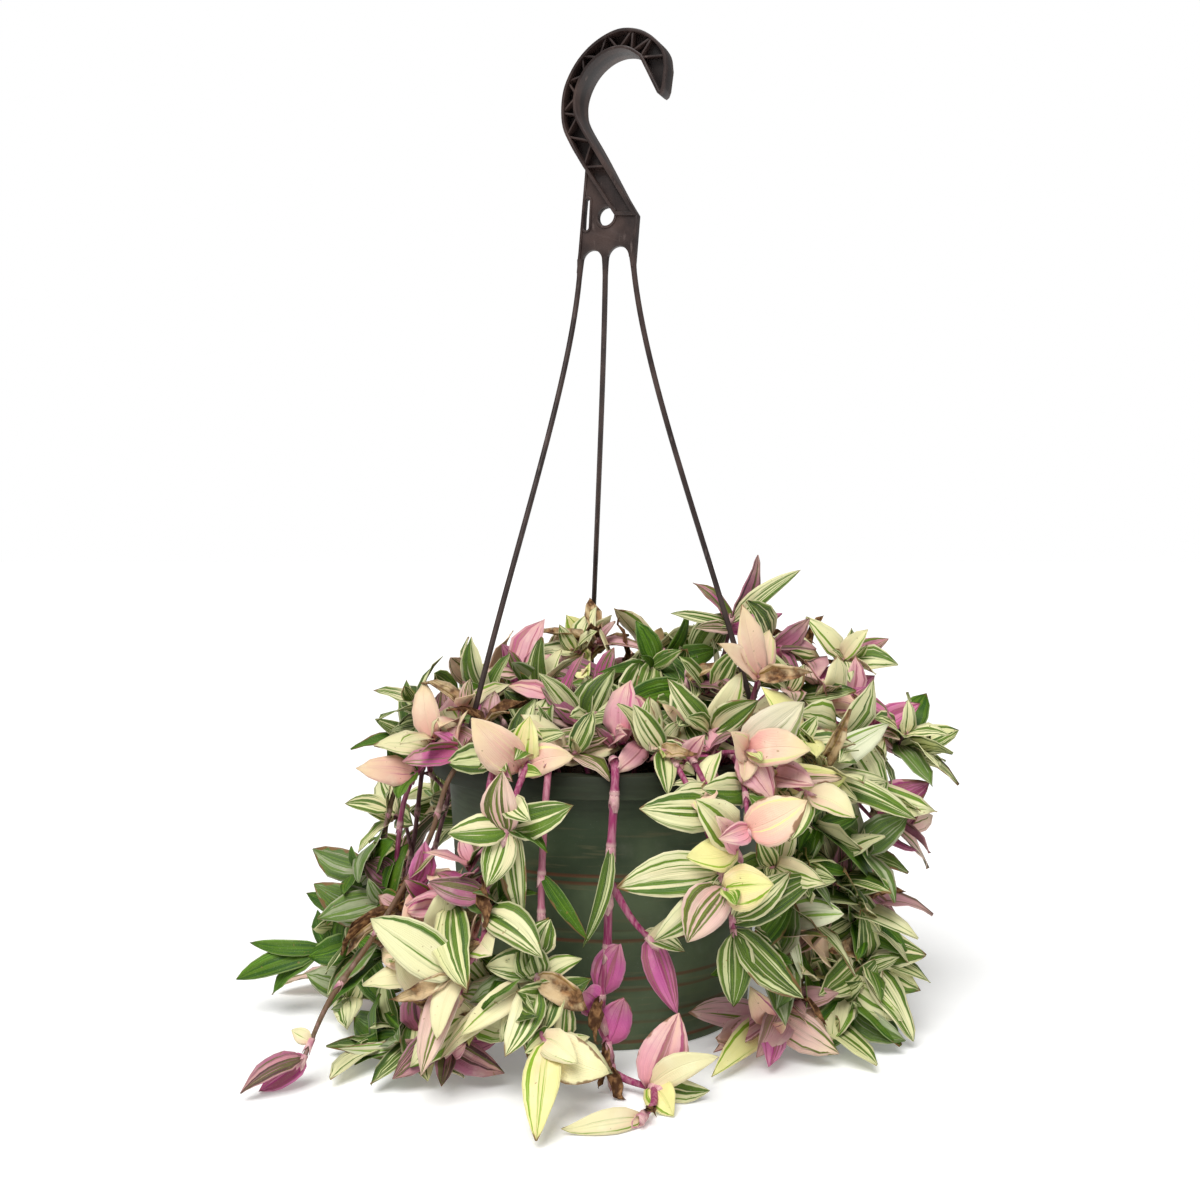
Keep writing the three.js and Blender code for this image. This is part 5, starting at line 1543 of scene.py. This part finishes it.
        (2, -40, -57, -2, 8, 0, "yellow"), (3, 39, -5, 4, 10, 0, "stripe"), (9, 56, 9, 6, 8.5, 0, "green"),
        (14, -5, -21, 24, 6, 0, "cream"), (10, 20, -17, 15, 5, 0, "dry"),
    ]),
    shootOf("right_rosette", 0, [(70, -24, 116), (90, -30, 154), (110, -46, 132), (123, -64, 78)], [
        (4, -1, -6, 32, 8, 0, "purple"), (3, 16, 2, 32, 6, 0, "stripe"), (1, 31, 2, 3, 6.5, 0, "stripe"),
        (2, 30, 14, 8, 7, 0, "magentaGreen"), (1, 21, -8, -20, 7.5, 0, "stripe"),
        (6, 41, 16, -19, 4, 0, "purple"), (0, -4, -14, -3, 5, 0, "greenCream"),
    ]),
    shootOf("right_low", 1, [
        (72, -19, 116), (92, -22, 155), (119, -42, 126), (132, -58, 62), (136, -62, 41),
    ], [
        (1, 23, -18, -37, 10.5, 0, "stripe"), (2, 35, 2, 1, 10.5, 0, "stripe"),
        (4, -25, -14, 7, 8.5, 0, "tan"), (1, -11, -20, -11, 5, 1, "magenta"), (5, 23, 14, 4, 6, 0, "pale"),
    ]),
    shootOf("left_hang", 2, [
        (-66, -6, 116), (-88, -8, 156), (-108, -12, 146), (-122, -16, 118), (-129, -22, 77),
    ], [
        (34, -21, 8, 37, 6, 0, "greenCream"), (20, -3, -12, 19, 5, 0, "green"),
        (2, -12, -12, -15, 7, 0, "pale"), (1, 16, -16, -14, 7, 0, "green"),
    ]),
]

# the short side shoots of the photographed side: vine, place of the tip, size of the leaves, their sorts
sideTips = [
    ("all_green", 18, 22, 160, 0.9, "green"), ("dark_spear", -12, 12, 160, 0.9, "mixed"),
    ("lance", 4, -22, 156, 0.85, "pink"), ("centre_right", 26, -6, 162, 0.9, "stripes"),
    ("dry_curl", -2, 26, 166, 0.9, "mixed"), ("pale_back", -28, 34, 164, 0.9, "rosy"),
    ("crown", 44, 42, 168, 0.9, "stripes"), ("behind_leg", -44, 38, 162, 0.85, "green"),
    ("all_green", 22, 46, 164, 0.9, "mixed"), ("left_leg", -36, -30, 158, 0.8, "stripes"),
    ("salmon_cup", 40, -34, 158, 0.85, "stripes"), ("far_top", 62, 34, 170, 0.85, "rosy"),
    ("folded", -109, -20, 173, 0.7, "green"), ("lip_left", -95, -48, 157, 0.75, "tans"),
    ("lip_left", -77, -40, 173, 0.65, "tans"), ("long_left", -80, -62, 154, 0.7, "rosy"),
    ("long_left", -63, -52, 166, 0.6, "withered"), ("lance", -27, -30, 175, 0.8, "pink"),
    ("lance", -9, -50, 166, 0.8, "pink"), ("cup_mid", 3, -70, 156, 0.7, "pink"),
    ("cup_mid", 18, -55, 159, 0.75, "pink"), ("front_left", -16, -80, 154, 0.7, "mixed"),
    ("salmon_left", -30, -72, 158, 0.75, "pink"), ("lance", 11, -20, 171, 0.75, "stripes"),
    ("cup_mid", 30, -62, 157, 0.7, "mixed"), ("stripe_mid", 46, -50, 163, 0.8, "mixed"),
    ("pink_star", 50, -75, 152, 0.65, "pink"), ("right_cup", 39, -86, 147, 0.55, "pink"),
    ("pale_back", -4, 45, 204, 0.8, "withered"), ("pale_back", -19, 40, 197, 0.8, "cream"),
    ("all_green", 26, 0, 190, 0.7, "green"), ("centre_right", 62, -20, 179, 0.75, "mixed"),
    ("dry_curl", -4, 10, 177, 0.75, "pink"), ("dark_spear", -39, 0, 178, 0.8, "green"),
    ("behind_leg", -51, 10, 187, 0.75, "pink"), ("left_front", -55, -84, 151, 0.6, "pink"),
    ("purple_right", 97, -10, 201, 0.75, "pink"), ("far_top", 116, 10, 199, 0.65, "withered"),
    ("mid_stripe", 103, -30, 180, 0.75, "mixed"), ("mid_stripe", 119, -20, 180, 0.75, "rosy"),
    ("far_top", 138, 0, 195, 0.7, "cream"), ("far_right", 141, -10, 172, 0.7, "rosy"),
    ("far_right", 153, -10, 153, 0.9, "rosy"), ("mid_stripe", 130, -42, 154, 0.96, "stripes"),
    ("far_right", 172, -10, 153, 0.84, "green"), ("far_right", 182, -5, 145, 0.78, "stripes"),
    ("magenta_right", 140, -40, 127, 0.96, "stripes"), ("long_stripe", 114, -60, 141, 0.96, "stripes"),
    ("long_stripe", 103, -62, 157, 0.75, "cream"), ("cream_right", 86, -82, 134, 0.75, "cream"),
    ("magenta_right", 165, -25, 103, 0.84, "pink"), ("yellow_right", 69, -95, 132, 0.65, "mixed"),
    ("cream_right", 81, -82, 145, 0.7, "rosy"), ("right_stem", 110, -72, 112, 0.96, "green"),
    ("right_rosette", 120, -66, 94, 0.96, "mixed"), ("right_low", 138, -55, 97, 0.9, "green"),
    ("right_low", 146, -50, 69, 0.75, "withered"), ("right_low", 132, -60, 72, 0.96, "green"),
    ("right_low", 132, -62, 58, 0.75, "green"), ("right_stem", 101, -78, 76, 0.96, "stripes"),
    ("right_stem", 90, -84, 61, 0.8, "pink"), ("right_stem", 107, -70, 37, 0.9, "cream"),
    ("right_low", 122, -70, 26, 0.85, "stripes"), ("right_low", 138, -66, 38, 0.8, "stripes"),
    ("right_low", 128, -72, 15, 0.9, "green"), ("right_stem", 113, -76, 10, 0.84, "green"),
    ("right_stem", 94, -86, 27, 0.7, "withered"), ("right_stem", 84, -92, 16, 0.7, "rosy"),
    ("right_stem", 79, -96, 52, 0.75, "green"), ("right_stem", 104, -84, 98, 0.62, "green"),
    ("right_stem", 82, -104, 100, 0.7, "stripes"), ("right_cup", 47, -102, 138, 0.55, "mixed"),
    ("left_hang", -137, -30, 79, 0.75, "green"), ("fan", -122, -50, 68, 0.75, "green"),
    ("fan", -148, -20, 44, 0.75, "green"), ("long_left", -107, -72, 64, 0.75, "withered"),
    ("long_left", -90, -90, 81, 0.65, "rosy"), ("left_front", -76, -96, 86, 0.65, "rosy"),
    ("left_front", -68, -104, 103, 0.6, "pink"), ("left_front", -97, -90, 50, 0.8, "tans"),
    ("long_left", -114, -70, 42, 0.75, "green"), ("fan", -134, -42, 33, 0.75, "green"),
    ("left_front", -79, -112, 62, 0.7, "cream"), ("left_front", -66, -114, 67, 0.65, "tans"),
    ("left_front", -83, -116, 38, 0.75, "tans"), ("left_front", -65, -118, 29, 0.75, "cream"),
    ("front_left", -48, -122, 41, 0.7, "stripes"), ("left_front", -76, -122, 16, 0.62, "pink"),
    ("left_front", -89, -112, 15, 0.75, "pink"), ("left_front", -107, -92, 15, 0.75, "green"),
    ("front_left", -42, -122, 55, 0.65, "green"), ("front_left", -29, -128, 44, 0.65, "stripes"),
    ("front_left", -19, -136, 25, 0.6, "stripes"), ("left_front", -52, -114, 86, 0.55, "green"),
    ("fan", -140, -42, 11, 0.75, "green"), ("left_front", -119, -90, 4, 0.7, "green"),
    ("star", -42, -110, 121, 0.5, "green"),
]

# the colour of each vine's stems and the sorts of its other leaves, where they aren't plum and mixed
vineLooks = {
    "left_leg": ("olive", "green"), "behind_leg": ("olive", "green"), "long_left": ("olive", "green"),
    "left_hang": ("olive", "green"), "left_front": ("plum", "mixed"), "all_green": ("olive", "green"),
    "folded": ("olive", "mixed"), "spear": ("olive", "green"), "dark_spear": ("olive", "green"),
    "front_left": ("rose", "cream"), "centre": ("plum", "pink"), "crown": ("dusk", "pink"),
    "purple_right": ("dusk", "pink"), "far_right": ("dusk", "mixed"), "right_low": ("rose", "cream"),
}

blades = {kind: makeBladeBlank(*bladeSize[kind]) for kind in ("full", "plain")}
bladeVerts = {kind: np.array([v.co for v in blank.data.vertices]) for kind, blank in blades.items()}
# the sheath starts as a tube of 8 sides, 1 in radius and in height once its place is in metres
sheathBlank = grow([(1, 0), (1, 400), (1, 1000)], 8, "sheath", closed=False)
for v in sheathBlank.data.vertices:
    v.co = (v.co.x / mm, v.co.y / mm, v.co.z)
modify(sheathBlank, "SOLIDIFY", thickness=0.1, offset=0)
wear(sheathBlank, leafTop, leafUnder, stemSkin, huskSkin)
for f in sheathBlank.data.polygons:
    f.material_index = 3
    f.use_smooth = True
sheathVerts = np.array([v.co for v in sheathBlank.data.vertices])


sideSize = {
    "boost": 1.12,      # on the sizes in the table
    "seen": 0.55,       # how far the tufts of the table turn to the photographed side
    "perBackStem": 4,
    "aside": (16, 12),
    "outward": (4, 12),
    "rise": (4, 10),
    "size": (0.75, 0.2),
    "lowest": 10,
    "highest": 172,
    "blends": ("mixed", "stripes", "rosy", "green"),
}


def behind(name):
    return name.startswith("back_")


def sideShoots(others):
    made = []
    for vine, x, y, z, size, blend in sideTips:
        tip = Vector((x, y, z))
        near = [s for other in others if other["vine"] == vine for s in other["path"]["stations"]]
        start = min(near, key=lambda s: (s - tip).length)
        middle = start.lerp(tip, 0.5) + up * (0.1 * (tip - start).length)
        looks = {"size": size * sideSize["boost"], "blend": blend, "seen": sideSize["seen"]}
        made.append(shootOf(vine, 1, [start, middle, tip], tuft=True, **looks))
    return made


def backSideShoots(others):
    # short shoots to both sides of each stem behind
    made = []
    for index, other in enumerate(others):
        if not behind(other["vine"]):
            continue
        draw = seeded(seeds["backSide"] + index)
        for k in range(sideSize["perBackStem"]):
            start = pointBack(other["path"], other["path"]["length"] * (0.12 + 0.17 * k))[0]
            outward = outwardAt(start)
            side = outward.cross(up) * (1 if k % 2 else -1)
            tip = start + side * chance(sideSize["aside"], draw) + outward * chance(sideSize["outward"], draw)
            tip += up * chance(sideSize["rise"], draw)
            tip.z = min(max(tip.z, sideSize["lowest"]), sideSize["highest"])
            middle = start.lerp(tip, 0.5) + up * 3
            size = chance(sideSize["size"], draw)
            blend = sideSize["blends"][int(len(sideSize["blends"]) * draw())]
            made.append(shootOf(other["vine"], 1, [start, middle, tip], tuft=True, size=size, blend=blend))
    return made


def clearOfPot(leaf):
    # a leaf without a solid of its own keeps out of the pot and the soil
    for share in (0.35, 0.7, 1):
        p = leaf["root"].lerp(leaf["tip"], share)
        if math.hypot(p.x, p.y) < potSize["rim"] + 1 and p.z < potSize["height"]:
            return False
    return True


shoots = frontShoots + ruledShoots()
for i, shoot in enumerate(shoots):
    shootPath(shoot, shoots[:i])
grownFrom = list(shoots)
# a withered end that lies on the floor in front
fallenEnd = shootOf(
    "centre", 0, [(22, -139, 6), (21, -152, 5), (16, -162, 4)],
    [(0, -37, -10, -1, 5.5, 0, "cream"), (5, 7, -7, 4, 4, 0, "dry")],
)
for shoot in [*sideShoots(grownFrom), *backSideShoots(grownFrom), fallenEnd]:
    shootPath(shoot, grownFrom)
    shoots.append(shoot)


def giveSorts(blend, leaves, draw):
    # a sort for each leaf that has none
    for leaf in leaves:
        choice = blends[blend][int(draw() * len(blends[blend]))]
        if not leaf["sort"]:
            leaf["sort"] = choice


def growVine(name, number):
    tone, blend = vineLooks.get(name, ("dusk" if behind(name) else "plum", "mixed"))
    tree = kdtree.KDTree(len(nodes[name].data.vertices))
    for i, v in enumerate(nodes[name].data.vertices):
        tree.insert(v.co / mm, i)
    tree.balance()
    mine = [(i, s) for i, s in enumerate(shoots) if s["vine"] == name]
    draw = seeded(seeds["vine"] + number)
    found = 0
    for index, shoot in mine:
        grown = []
        for leaf in leavesOf(shoot, index):
            placed, solid = fitted(leaf, tree)
            found += solid
            if solid or clearOfPot(placed):
                grown.append(placed)
        shoot["grown"] = grown
        shoot["joints"] = jointsOf(shoot)
        giveSorts(shoot.get("blend", blend), grown, draw)
    pieces = [addStems([s for _, s in mine], tone)]
    count = 0
    for _, shoot in mine:
        kind = "plain" if "size" in shoot else "full"
        for leaf in shoot["grown"]:
            pieces.append(addLeaf(blades[kind], bladeVerts[kind], leaf, number * 100 + count))
            count += 1
        for back in shoot["joints"]:
            _, along, soft = pointBack(shoot["path"], back)
            nth = number * 100 + len(pieces)
            pieces.append(addSheath(sheathBlank, sheathVerts, soft, along, stoutness(shoot), nth))
    vine = joinAll(pieces, f"leafy_{name}")
    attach(vine, "root")
    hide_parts(name)
    return count, found


names = list(dict.fromkeys(s["vine"] for s in shoots))
total = [growVine(name, number) for number, name in enumerate(names)]
for blank in (*blades.values(), sheathBlank):
    drop(blank)
leafCount, solidCount = (sum(counts) for counts in zip(*total))
print("vines grown:", len(names), "leaves:", leafCount, "with a solid:", solidCount)
